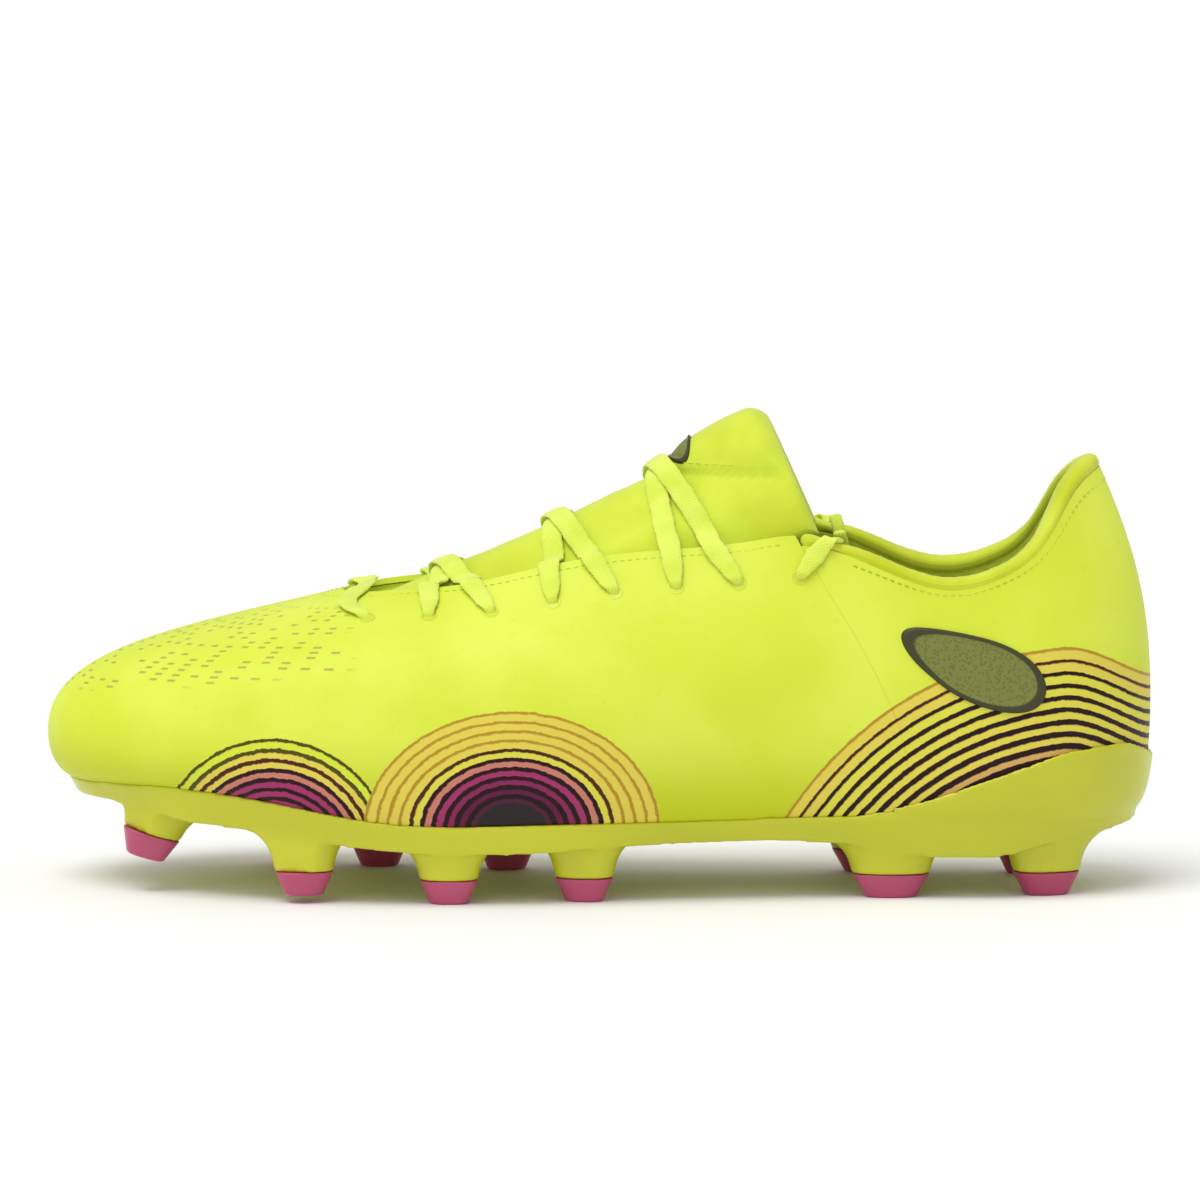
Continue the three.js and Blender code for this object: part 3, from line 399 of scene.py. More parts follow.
def border_distance(surface):
    """How far each point of a grid is from the grid's nearest border, along the grid."""
    near = []
    for axis in (0, 1):
        steps = np.linalg.norm(np.diff(surface, axis=axis), axis=2)
        pad = [(1, 0), (0, 0)] if axis == 0 else [(0, 0), (1, 0)]
        run = np.pad(np.cumsum(steps, axis=axis), pad)
        total = run[-1:] if axis == 0 else run[:, -1:]
        near.append(np.minimum(run, total - run))
    return np.minimum(*near)


EDGE_STEPS = np.array([0, 0.1, 0.25, 0.45, 0.7, 1.0, 1.4])  # of the points near a rounded edge, in mm


def spaced(length, step):
    """Shares of a length from 0 to 1, evenly spaced but for the finer ones that round the two edges."""
    ends = EDGE_STEPS / length
    middle = np.linspace(ends[-1], 1 - ends[-1], max(3, int(length / step)))[1:-1]
    return np.concatenate([ends, middle, 1 - ends[::-1]])


def rounding(distance, radius):
    """How far a surface drops near its border so that the edge is round."""
    short = np.clip(radius - distance, 0, radius)
    return radius - np.sqrt(radius**2 - short**2)


PANEL_STEP = 1.1  # between the points of a panel, in mm
COLUMN_LENGTH = 21  # about how long a column of the upper is, and how high the upper is, in mm
UPPER_HEIGHT = 75


def upper_panel(p_range, v_range, outer, inner, edge):
    """Points, faces and cloth coordinates of a piece of the upper between two depths."""
    columns = p_range[0] + np.ptp(p_range) * spaced(COLUMN_LENGTH * np.ptp(p_range), PANEL_STEP)
    rows = v_range[0] + np.ptp(v_range) * spaced(UPPER_HEIGHT * np.ptp(v_range), PANEL_STEP)
    column, v = np.meshgrid(columns, rows, indexing="ij")
    p = leaned(column, v)
    surface, normal = last_point(p, v), last_normal(p, v)
    drop = rounding(border_distance(surface), edge)
    front = surface - scaled(normal, outer(p, v) + drop)
    back = surface - scaled(normal, inner(p, v) - 0.3 * drop)
    points, faces = shell(front, back)
    cloth = {"along": np.tile((p * 20).ravel(), 2), "up": np.tile((v * UPPER_HEIGHT).ravel(), 2)}
    return points, faces, cloth


def constant(value):
    return lambda p, v: np.full(np.shape(p), float(value))


def dress(obj, material, slot, *nodes, body=SHOE):
    """Gives a piece its look, hides the CAD nodes that it stands for, and lets it ride. The slot is not used.
    """
    obj.data.materials.clear()
    obj.data.materials.append(material)
    if nodes:
        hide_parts(*nodes)
    if body:
        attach(obj, body)
    return obj


def add_piece(name, shape, look, slot, *nodes, body=SHOE, sharp=50):
    """Makes and dresses a piece from its points, its faces and perhaps its cloth coordinates."""
    return dress(object_from(mesh_from(name, *shape, sharp=sharp)), look, slot, *nodes, body=body)


def applied(obj):
    """The object with its modifiers applied."""
    graph = bpy.context.evaluated_depsgraph_get()
    mesh = bpy.data.meshes.new_from_object(obj.evaluated_get(graph))
    mesh.name = obj.data.name
    obj.modifiers.clear()
    obj.data = mesh
    return obj


# ---------------------------------------------------------------- camera, light and ground
CAMERA_LENS = 255.6
CAMERA_ELEVATION = math.radians(6.5)
CAMERA_AIM = Vector((0.0004, -0.04, 0.0782))
CAMERA_DISTANCE = 2.16


def aimed(data, direction, axis):
    """An object with one of its axes towards a direction."""
    obj = object_from(data)
    obj.rotation_mode = "QUATERNION"
    obj.rotation_quaternion = Vector(direction).to_track_quat(axis, "Y")
    return obj


def add_camera():
    data = bpy.data.cameras.new("camera")
    data.sensor_width = 36
    data.lens = CAMERA_LENS
    back = Vector((0, -math.cos(CAMERA_ELEVATION), math.sin(CAMERA_ELEVATION)))
    camera = aimed(data, -back, "-Z")
    camera.location = CAMERA_AIM + back * CAMERA_DISTANCE
    bpy.context.scene.camera = camera


def add_lamp(name, towards, power, spread):
    """An even light from a direction, as soft as its spread in degrees."""
    data = bpy.data.lights.new(name, "SUN")
    data.energy = power
    data.angle = math.radians(spread)
    aimed(data, towards, "Z")


# ---------------------------------------------------------------- material nodes
def linear(red, green, blue):
    """A display colour, 0 to 255, as the linear colour that shaders take."""
    def channel(value):
        share = value / 255
        return share / 12.92 if share <= 0.04045 else ((share + 0.055) / 1.055) ** 2.4

    return (channel(red), channel(green), channel(blue), 1)


class Field:
    """A node's output that varies over a surface. Arithmetic on it adds nodes."""

    def __init__(self, tree, socket):
        self.tree = tree
        self.socket = socket

    def feed(self, socket, value):
        if isinstance(value, Field):
            self.tree.links.new(value.socket, socket)
        else:
            socket.default_value = value

    def math(self, operation, *others):
        node = self.tree.nodes.new("ShaderNodeMath")
        node.operation = operation
        for socket, value in zip(node.inputs, (self, *others)):
            self.feed(socket, value)
        return Field(self.tree, node.outputs[0])

    def __add__(self, other):
        return self.math("ADD", other)

    def __sub__(self, other):
        return self.math("SUBTRACT", other)

    def __mul__(self, other):
        return self.math("MULTIPLY", other)

    def __truediv__(self, other):
        return self.math("DIVIDE", other)

    def less_from(self, value):
        """value minus this."""
        return self * -1 + value

    def step(self, low, high):
        """0 below low, 1 above high, smooth between; falling if high is below low."""
        node = self.tree.nodes.new("ShaderNodeMapRange")
        node.interpolation_type = "SMOOTHSTEP"
        rising = high > low
        node.inputs["From Min"].default_value = min(low, high)
        node.inputs["From Max"].default_value = max(low, high)
        node.inputs["To Min"].default_value = 0 if rising else 1
        node.inputs["To Max"].default_value = 1 if rising else 0
        self.tree.links.new(self.socket, node.inputs["Value"])
        return Field(self.tree, node.outputs[0])

    def ramp(self, stops):
        """A colour picked by this value from (place, colour) stops."""
        node = self.tree.nodes.new("ShaderNodeValToRGB")
        elements = node.color_ramp.elements
        while len(elements) < len(stops):
            elements.new(0.5)
        for element, (place, colour) in zip(elements, stops):
            element.position = place
            element.color = colour
        self.tree.links.new(self.socket, node.inputs[0])
        return Field(self.tree, node.outputs[0])

    def mixed(self, none, full):
        """A colour between two, by this share."""
        node = self.tree.nodes.new("ShaderNodeMix")
        node.data_type = "RGBA"
        self.feed(node.inputs[0], self)
        self.feed(node.inputs[6], none)
        self.feed(node.inputs[7], full)
        return Field(self.tree, node.outputs[2])


class Look:
    """A material under construction, with the fields that patterns start from."""

    def __init__(self, name, roughness=0.5, **shader_values):
        self.material = bpy.data.materials.new(name)
        self.material.use_nodes = True
        self.tree = self.material.node_tree
        self.shader = self.tree.nodes["Principled BSDF"]
        self.shader.inputs["Roughness"].default_value = roughness
        for key, value in shader_values.items():
            self.shader.inputs[key.replace("_", " ")].default_value = value
        self.place = self.tree.nodes.new("ShaderNodeTexCoord").outputs["Object"]

    def millimetres(self):
        """The place on the object as x, y and z in millimetres, in the source's coordinates."""
        node = self.tree.nodes.new("ShaderNodeSeparateXYZ")
        self.tree.links.new(self.place, node.inputs[0])
        return [Field(self.tree, node.outputs[k]) * 1000 - float(ORIGIN[k]) for k in range(3)]

    def attribute(self, name):
        node = self.tree.nodes.new("ShaderNodeAttribute")
        node.attribute_name = name
        return Field(self.tree, node.outputs["Fac"])

    def noise(self, size, detail=2.0, stretch=(1, 1, 1)):
        """Noise with features of about that size in millimetres."""
        mapping = self.tree.nodes.new("ShaderNodeMapping")
        mapping.inputs["Scale"].default_value = [1000 / (size * s) for s in stretch]
        self.tree.links.new(self.place, mapping.inputs["Vector"])
        node = self.tree.nodes.new("ShaderNodeTexNoise")
        node.inputs["Scale"].default_value = 1
        node.inputs["Detail"].default_value = detail
        self.tree.links.new(mapping.outputs[0], node.inputs["Vector"])
        return Field(self.tree, node.outputs[0])

    def cells(self, size):
        """Distance to the nearest of scattered points about that far apart, in shares of that."""
        node = self.tree.nodes.new("ShaderNodeTexVoronoi")
        node.inputs["Scale"].default_value = 1000 / size
        self.tree.links.new(self.place, node.inputs["Vector"])
        return Field(self.tree, node.outputs["Distance"])

    def paint(self, colour):
        self.tree.links.new(colour.socket, self.shader.inputs["Base Color"])
        return self

    def rough(self, value):
        self.tree.links.new(value.socket, self.shader.inputs["Roughness"])
        return self

    def bump(self, height, strength, distance):
        """Adds relief from a height field, the distance in millimetres, over what is there already."""
        node = self.tree.nodes.new("ShaderNodeBump")
        node.inputs["Strength"].default_value = strength
        node.inputs["Distance"].default_value = distance / 1000
        self.tree.links.new(height.socket, node.inputs["Height"])
        normal = self.shader.inputs["Normal"]
        if normal.is_linked:
            self.tree.links.new(normal.links[0].from_socket, node.inputs["Normal"])
        self.tree.links.new(node.outputs[0], normal)
        return self


def ripple(field, pitch):
    """A cosine wave along a field, from 0 to 1, that is highest at its whole pitches."""
    return ((field * (2 * math.pi / pitch)).math("COSINE") + 1) * 0.5


# ---------------------------------------------------------------- colours
LIME = linear(208, 222, 58)
LIME_DEEP = linear(192, 202, 30)
LIME_PALE = linear(216, 230, 80)
LIME_SHADE = linear(170, 186, 34)
MAROON = linear(34, 4, 12)
OLIVE_LINE = linear(70, 72, 10)
GOLD_LINE = linear(176, 140, 40)
BROWN_LINE = linear(72, 28, 14)
YELLOW = linear(216, 212, 70)
ROSE = linear(196, 122, 104)
PEACH = linear(220, 202, 78)
MAGENTA = linear(158, 48, 100)
PLUM = linear(96, 18, 62)
CHARCOAL = linear(40, 32, 34)


# ---------------------------------------------------------------- printed arcs
def rounds(x, z):
    return (x.math("POWER", 2) + z.math("POWER", 2)).math("SQRT")


def by_ring(stops, count):
    """Stops given by ring, as stops for a ramp over all the rings."""
    return [((ring + 0.5) / (count + 1), value) for ring, value in stops]


def printed_rings(distance, radius, pitch, count, line_stops, fill_stops, width_stops, base):
    """Rings printed inside a radius, a pitch apart: each has a line at its outside and a fill within.
    The stops give the lines' and fills' colours and the lines' widths, in shares of a pitch, by ring."""
    inwards = distance.less_from(radius) / pitch
    ring = (inwards.math("FLOOR") + 0.5) / (count + 1)
    width = ring.ramp([(place, (w, w, w, 1)) for place, w in by_ring(width_stops, count)])
    line = (inwards.math("FRACT") - width).step(0.07, -0.07) * inwards.math("FRACT").step(-0.02, 0.06)
    colours = (ring.ramp(by_ring(stops, count)) for stops in (fill_stops, line_stops))
    inside = inwards.step(-0.05, 0.05) * inwards.step(count + 0.05, count - 0.05)
    return inside.mixed(base, line.mixed(*colours))


def skin_look():
    look = Look("upper_skin", roughness=0.5, Specular_IOR_Level=0.2)
    x, _, z = look.millimetres()
    cloud = look.noise(38, 3)
    fine = look.noise(2.2, 4)
    base = cloud.step(0.35, 0.68).mixed(LIME, LIME_PALE)
    # Painted shade: the skin is painted darker towards the bottom, fully below 22 mm and fading out by 46 mm,
    # as light from above leaves the lower upper in shade.
    base = z.step(46, 22).mixed(base, LIME_DEEP)
    base = (fine.step(0.62, 0.8) * 0.25).mixed(base, LIME_DEEP)

    dash = toe_dashes(look, x, z)
    base = (dash * 0.55).mixed(base, linear(150, 92, 78))

    wobble = (look.noise(3, 2) - 0.5) * 0.7 + (look.noise(1.1, 1) - 0.5) * 0.6
    front = rounds(x + 81.9, z - 12.9) + wobble
    base = printed_rings(
        front, 30.2, 2.5, 12,
        [(0, OLIVE_LINE), (1, OLIVE_LINE), (2, BROWN_LINE), (3, MAROON), (12, MAROON)],
        [(0, LIME), (1, PEACH), (2, PEACH), (3, ROSE), (4, MAGENTA), (12, MAGENTA)],
        [(0, 0.36), (1, 0.46), (12, 0.5)],
        base,
    )
    middle = rounds(x + 21.9, (z - 19.9) * 1.229) + wobble
    base = printed_rings(
        middle, 37.6, 2.85, 13,
        [(0, GOLD_LINE), (3, GOLD_LINE), (4, BROWN_LINE), (5, MAROON), (9, MAROON), (10, CHARCOAL)],
        [(0, PEACH), (3, PEACH), (4, YELLOW), (5, ROSE), (6, MAGENTA), (8, PLUM), (10, CHARCOAL)],
        [(0, 0.3), (3, 0.34), (4, 0.42), (6, 0.46), (9, 0.55), (10, 1)],
        base,
    )
    back = x.step(118, 147) * 8
    heel = rounds(x - 124, (z + 28) * 0.97) + back + wobble * 0.6
    printed = printed_rings(
        heel, 90.4, 2.95, 11,
        [(0, GOLD_LINE), (1, BROWN_LINE), (2, MAROON), (11, MAROON)],
        [(0, PEACH), (1, PEACH), (2, YELLOW), (7, PEACH), (9, ROSE)],
        [(0, 0.28), (1, 0.3), (3, 0.42), (6, 0.5), (8, 0.55)],
        base,
    )
    base = x.step(29, 31).mixed(base, printed)

    look.paint(base)
    look.rough(fine.step(0.3, 0.7) * 0.12 + 0.42)
    look.bump(look.cells(0.9), 0.12, 0.12)
    look.bump(look.noise(14, 3), 0.12, 0.6)
    look.bump(dash, 0.4, 0.25)
    return look.material


DASH_PITCH = 4.7  # along the shoe
DASH_ROW = 1.9  # up the upper


def toe_dashes(look, x, z):
    """Columns of short dashes over the top of the toe box, some left out."""
    up = look.attribute("up")
    column, row = look.attribute("along") / DASH_PITCH, up / DASH_ROW
    cell = look.tree.nodes.new("ShaderNodeCombineXYZ")
    look.tree.links.new(column.math("FLOOR").socket, cell.inputs[0])
    look.tree.links.new(row.math("FLOOR").socket, cell.inputs[1])
    chance = look.tree.nodes.new("ShaderNodeTexWhiteNoise")
    look.tree.links.new(cell.outputs[0], chance.inputs["Vector"])
    kept = Field(look.tree, chance.outputs["Value"]).step(0.42, 0.44)
    wide = ((column.math("FRACT") - 0.5).math("ABSOLUTE") * DASH_PITCH).step(1.1, 0.8)
    tall = ((row.math("FRACT") - 0.5).math("ABSOLUTE") * DASH_ROW).step(0.46, 0.26)
    region = x.step(-60, -66) * (z - x * 0.12).step(66.5, 68.5) * up.step(69, 66)
    return kept * wide * tall * region


def textile_look(name, colour, deep, along_pitch, up_pitch, depth, contrast=0.5):
    """Knitted or woven cloth from two attributes that run over the piece in millimetres."""
    look = Look(name, roughness=0.85, Specular_IOR_Level=0.25, Sheen_Weight=0.25, Sheen_Roughness=0.5)
    along, up = look.attribute("along"), look.attribute("up")
    stagger = (up / up_pitch).math("ROUND") * math.pi
    loops = ripple(along, along_pitch)
    rows = ripple(up, up_pitch)
    tilted = (along * (2 * math.pi / along_pitch) + stagger).math("SINE") * 0.5 + 0.5
    knit = rows * 0.5 + tilted * 0.3 + loops * 0.2
    cloud = look.noise(22, 3)
    base = cloud.step(0.3, 0.7).mixed(colour, deep)
    base = (knit.step(0.45, 0.15) * contrast).mixed(base, deep)
    look.paint(base)
    look.rough(knit * -0.12 + 0.93)
    look.bump(knit, 0.5, depth)
    look.bump(look.noise(0.5, 2), 0.15, 0.1)
    return look.material


def plastic_look(name, colour, deep, roughness, scuff, scuff_below=None):
    """Moulded plastic with flow marks, fine pores, and scuffs that are thickest near the ground."""
    look = Look(name, roughness=roughness, Specular_IOR_Level=0.5, Coat_Weight=0.15, Coat_Roughness=0.2)
    z = look.millimetres()[2]
    flow = look.noise(30, 3, (2.5, 1, 1))
    base = flow.step(0.35, 0.7).mixed(colour, deep)
    scratches = look.noise(1.6, 4, (5, 1, 1)).step(0.62, 0.74)
    if scuff_below is not None:
        scratches = scratches * z.step(scuff_below, scuff_below * 0.2)
    base = (scratches * 0.35).mixed(base, scuff)
    look.paint(base)
    look.rough(scratches * 0.25 + look.noise(6, 3) * 0.12 + (roughness - 0.06))
    look.bump(look.noise(0.8, 3), 0.3, 0.06)
    look.bump(flow, 0.1, 0.5)
    return look.material


def foam_look(name, colour, deep):
    look = Look(name, roughness=0.95, Specular_IOR_Level=0.2)
    pores = look.cells(1.1)
    base = (pores.step(0.5, 0.2) * 0.6).mixed(colour, deep)
    look.paint((look.noise(12, 3).step(0.4, 0.7) * 0.3).mixed(base, deep))
    look.rough(pores * 0.1 + 0.88)
    look.bump(pores, 0.5, 0.3)
    return look.material


def fibre_look(name, colour, deep):
    look = Look(name, roughness=0.8, Specular_IOR_Level=0.25)
    fibres = look.noise(0.9, 4, (9, 1, 1)) * 0.5 + look.noise(0.9, 4, (1, 9, 1)) * 0.5
    look.paint(fibres.step(0.38, 0.62).mixed(colour, deep))
    look.rough(fibres * 0.2 + 0.7)
    look.bump(fibres, 0.35, 0.12)
    return look.material


def badge_look():
    look = Look("badge", roughness=0.55, Specular_IOR_Level=0.4)
    grain = look.cells(0.8)
    rim = look.attribute("rim")
    base = grain.step(0.15, 0.55).mixed(linear(96, 100, 40), linear(118, 122, 52))
    look.paint(rim.step(0.84, 0.88).mixed(base, linear(56, 56, 24)))
    look.rough(look.noise(3, 3) * 0.2 + 0.42)
    look.bump(grain, 0.4, 0.12)
    return look.material


def lace_look():
    """Flat braid: two sets of strands that cross, by how far along and across the lace a point is."""
    look = Look("lace", roughness=0.8, Specular_IOR_Level=0.25, Sheen_Weight=0.3, Sheen_Roughness=0.5)
    along, across = look.attribute("along"), look.attribute("up")
    one = ripple(along + across * 1.1, 1.15)
    two = ripple(along - across * 1.1, 1.15)
    strands = one.math("MAXIMUM", two)
    base = look.noise(9, 2).step(0.35, 0.7).mixed(linear(220, 234, 92), linear(210, 226, 72))
    look.paint((strands.step(0.6, 0.25) * 0.25).mixed(base, LIME_SHADE))
    look.rough(strands * -0.15 + 0.88)
    look.bump(strands, 0.35, 0.14)
    return look.material


def ground_look():
    look = Look("ground", roughness=0.75, Specular_IOR_Level=0.2)
    look.paint(look.noise(700, 2).step(0.2, 0.8).mixed(linear(248, 248, 249), linear(244, 244, 246)))
    return look.material


# ---------------------------------------------------------------- eyelets
DRILL_RADIUS = 1.75


def eyelet_column(x, side):
    def place(middle):
        return LOOP - middle if side > 0 else middle

    return place(bisect(2, 9, lambda middle: skin_point(place(middle), EYELET_V, 0)[0] < x))


EYELET_COLUMNS = {
    side: [eyelet_column(EYELET_FRONT + k * EYELET_PITCH, side) for k in range(EYELETS)] for side in (-1, 1)
}


def frame_at(p, v):
    """The directions along the shoe, up the upper and out of it at a point of the last."""
    out = last_normal(p, v)
    up = unit(last_point(p, v + 0.01) - last_point(p, v - 0.01))
    return np.cross(up, out), up, out


def eyelet_tubes(profile, sides=28):
    """A closed tube round every eyelet, from (radius, height over the skin) pairs."""
    cos, sin = circle(sides)
    parts = []
    for columns in EYELET_COLUMNS.values():
        for p in columns:
            across, up, out = frame_at(p, EYELET_V)
            centre = skin_point(p, EYELET_V, 0)
            parts.append(
                np.array([
                    centre + radius * (np.outer(cos, across) + np.outer(sin, up)) + height * out
                    for radius, height in profile
                ])
            )
    return parts


def drilled(obj):
    """Cuts the eyelets out of a piece. The points that the cut adds take the nearest cloth coordinates."""
    old = obj.data
    drills = joined([loft(rings) for rings in eyelet_tubes([(DRILL_RADIUS, -7), (DRILL_RADIUS, 3)])])
    cutter = object_from(mesh_from("eyelet_drills", *drills))
    cut = obj.modifiers.new("eyelets", "BOOLEAN")
    cut.operation = "DIFFERENCE"
    cut.solver = "EXACT"
    cut.object = cutter
    applied(obj)
    bpy.data.objects.remove(cutter)
    tree = KDTree(len(old.vertices))
    for vertex in old.vertices:
        tree.insert(vertex.co, vertex.index)
    tree.balance()
    nearest = [tree.find(vertex.co)[1] for vertex in obj.data.vertices]
    for key in ("along", "up"):
        values = np.zeros(len(old.vertices), np.float32)
        old.attributes[key].data.foreach_get("value", values)
        layer = obj.data.attributes.get(key) or obj.data.attributes.new(key, "FLOAT", "POINT")
        layer.data.foreach_set("value", values[nearest])
    obj.data.shade_smooth()
    obj.data.set_sharp_from_angle(angle=math.radians(50))
    return obj


# ---------------------------------------------------------------- the upper
SEAM_GAP = 0.0003  # of a column, on each side of a seam


def add_upper(looks):
    skin, lining = looks["skin"], looks["lining"]
    skin_depths = (constant(0), constant(SKIN))
    front = (-SEAM + SEAM_GAP, SEAM - SEAM_GAP)
    rear = (SEAM + SEAM_GAP, LOOP - SEAM - SEAM_GAP)
    below_rim = (0, BINDING_V + 0.004)

    vamp = object_from(mesh_from("upper_vamp", *upper_panel(front, (0, 1), *skin_depths, edge=0.08)))
    dress(drilled(vamp), skin, "upper_skin", "vamp")
    halves = {"outer": (rear[0], HEEL - SEAM_GAP / 2), "inner": (HEEL + SEAM_GAP / 2, rear[1])}
    for side, columns in halves.items():
        shape = upper_panel(columns, below_rim, *skin_depths, edge=0.08)
        add_piece(f"upper_quarter_{side}", shape, skin, "upper_skin", f"quarter_{side}")

    def front_outer(p, v):
        return LINING_DEPTH - 1.35 * smooth(0.93, 0.975, v)

    front_inner = constant(LINING_DEPTH + LINING)
    shape = upper_panel((-SEAM, SEAM), (0, 0.99), front_outer, front_inner, edge=0.08)
    vamp_lining = object_from(mesh_from("lining_vamp", *shape))
    dress(drilled(vamp_lining), lining, "lining", "vamp_lining")

    def rear_outer(p, v):
        return LINING_DEPTH - (LINING_DEPTH - SKIN - GAP) * smooth(0.5, 0.64, v)

    def rear_inner(p, v):
        crown = 1.1 * smooth(9.2, 10.4, from_toe(p)) * smooth(0.56, 0.74, v) * smooth(0.955, 0.86, v)
        dimple = 0.12 * np.sin(p * 21) * np.sin(v * 60) * smooth(9, 10, from_toe(p))
        return lining_inner(p, v) + crown + dimple

    shape = upper_panel(rear, (0, BINDING_V), rear_outer, rear_inner, edge=0.3)
    collar = add_piece("lining_collar", shape, lining, "lining", "quarter_lining", "collar_foam")

    add_piece("collar_roll", collar_roll(), looks["binding"], "collar_binding", "collar_binding")
    rims = joined([loft(rings) for rings in eyelet_tubes(eyelet_rim())])
    add_piece("eyelet_rims", rims, looks["rim"], "upper_skin")


def eyelet_rim():
    """The section of a pressed rim round an eyelet, as a closed ring of (radius, height)."""
    cos, sin = circle(10)
    return [(DRILL_RADIUS + 0.1 + 0.35 * c, 0.12 * s) for c, s in zip(cos, sin)]


def collar_roll():
    """The soft binding round the collar: a roll over the edges of the skin and the lining."""
    start = SEAM - 0.3
    p = start + (LOOP - 2 * start) * spaced(330, 1.0)
    u, w = (squarish(values, 0.78) for values in circle(32))
    v = np.full_like(p, 0.978)
    out = last_normal(p, v)
    up = unit(last_point(p, np.full_like(p, 0.995)) - last_point(p, np.full_like(p, 0.96)))
    depth = lining_inner(p, v)
    centre = skin_point(p, v, depth / 2)
    run = run_along(centre)
    size = rounded(np.minimum(run, run[-1] - run), 2.4, 0.0004)
    ripple_up = 1 + 0.02 * np.sin(run * 2.1) + 0.015 * np.sin(run * 0.63)
    half_depth = (depth / 2 + 0.3) * size
    laces = [EYELET_COLUMNS[side][EYELETS - 1] - side * 0.48 for side in (-1, 1)]
    pressed = sum(np.exp(-(((p - lace) / 0.2) ** 2)) for lace in laces)
    half_height = 2.35 * size * ripple_up * (1 - 0.45 * pressed)
    points, faces = loft(swept(centre, out, up, half_depth[:, None] * u, half_height[:, None] * w))
    cloth = {"along": np.repeat(run, len(u)), "up": np.tile(np.arange(len(u)) * 0.55, len(run))}
    return points, faces, cloth


def stitch_row(points, normals, pitch=2.6, length=1.9, radius=0.26):
    """Short raised stitches end to end along a line that lies on a surface."""
    run = run_along(points)
    middles = np.arange(pitch / 2, run[-1], pitch)

    def sampled(values, at):
        return np.stack([np.interp(at, run, values[:, k]) for k in range(3)], -1)

    cos, sin = circle(8)
    ends = np.linspace(-1, 1, 7)
    parts = []
    for middle in middles:
        along = unit(sampled(points, middle + 0.4) - sampled(points, middle - 0.4))
        out = unit(sampled(normals, middle))
        side = np.cross(along, out)
        centre = sampled(points, middle) + 0.05 * out
        fat = radius * np.sqrt(np.clip(1 - ends**4, 0.02, 1))
        sag = -0.12 * ends**2
        rings = np.array([
            centre + along * (length / 2 * e) + out * s + f * (np.outer(cos, side) + np.outer(sin, out))
            for e, f, s in zip(ends, fat, sag)
        ])
        parts.append(loft(rings))
    return parts


def add_stitches(looks):
    def row(p, height, pitch, radius):
        v = np.full_like(p, height)
        return stitch_row(skin_point(p, v, 0), last_normal(p, v), pitch=pitch, length=1.5, radius=radius)

    collar = row(np.linspace(SEAM + 0.25, LOOP - SEAM - 0.25, 500), 0.922, 2, 0.18)
    add_piece("upper_stitches", joined(collar), looks["thread"], "upper_skin")
    outer = np.linspace(0.2, SEAM - 0.5, 300)
    throat = row(outer, 0.968, 2, 0.14) + row(LOOP - outer, 0.968, 2, 0.14)
    add_piece("throat_stitches", joined(throat), looks["thread"], "upper_skin")


# ---------------------------------------------------------------- badges
BADGE_COLUMN = 9.69  # where the middle of a side badge is
BADGE_TURN = -27  # degrees, from level, falling towards the heel


def add_badges(looks):
    """Plain oval badges: one on each quarter and one on the tongue."""
    for name, side, column in (("outer", -1, BADGE_COLUMN), ("inner", 1, LOOP - BADGE_COLUMN)):
        shape = badge_shape(on_quarter(column, 0.5, side), 19, 8, BADGE_TURN)
        add_piece(f"badge_{name}", shape, looks["badge"], "badge", f"side_badge_{name}")
    add_piece("badge_tongue", badge_shape(on_tongue, 5.2, 8.4, 0), looks["badge"], "badge", "tongue_badge")


def on_tongue(u, w, depth):
    t, a = 0.755 + u / TONGUE_LENGTH, w / 21
    return tongue_point(t, a, depth - tongue_puff(tongue_face(t, a)))


def on_quarter(column, v, side):
    """A function from millimetres along and up the quarter, round a point of it, to points at a depth."""
    step_p, step_v = 0.02, 0.01
    here = last_point(column, v)
    length_p = np.linalg.norm(last_point(column + step_p, v) - here) / step_p
    length_v = np.linalg.norm(last_point(column, v + step_v) - here) / step_v
    return lambda u, w, depth: skin_point(column - side * u / length_p, v + w / length_v, depth)


def badge_shape(place, half_long, half_high, turn):
    """A thin oval plate with a raised rim, laid on a surface."""
    cos, sin = circle(72)
    shares = np.array([0.02, 0.2, 0.4, 0.6, 0.74, 0.8, 0.84, 0.87, 0.9, 0.94, 0.97, 0.985, 1.0])
    heights = np.array([0.35, 0.35, 0.35, 0.35, 0.35, 0.36, 0.44, 0.62, 0.7, 0.7, 0.6, 0.4, 0.05])
    angle = math.radians(turn)
    share, c = np.meshgrid(shares, cos, indexing="ij")
    s = np.meshgrid(shares, sin, indexing="ij")[1]
    u0, w0 = half_long * share * c, half_high * share * s
    u = u0 * math.cos(angle) - w0 * math.sin(angle)
    w = u0 * math.sin(angle) + w0 * math.cos(angle)
    top = place(u, w, -np.broadcast_to(heights[:, None], u.shape))
    foot = place(u[-1:], w[-1:], np.full(u[-1:].shape, 0.3))
    under = place(u[:1], w[:1], np.full(u[:1].shape, 0.3))
    points, faces = loft(np.concatenate([top, foot, under]))
    rim = np.concatenate([share, share[-1:], share[:1]])
    return points, faces, {"rim": rim}


# ---------------------------------------------------------------- the tongue
TONGUE_LENGTH = 132  # along its ridge, in mm
TONGUE_GIRTH = 62
TONGUE_SEAM_Z = 108  # height of the seam under the padded top

ridge_curve = catmull([(x, TONGUE_MIDDLE, z) for x, z, _, _ in TONGUE])
width_curve = catmull([(w, drop, 0) for _, _, w, drop in TONGUE])


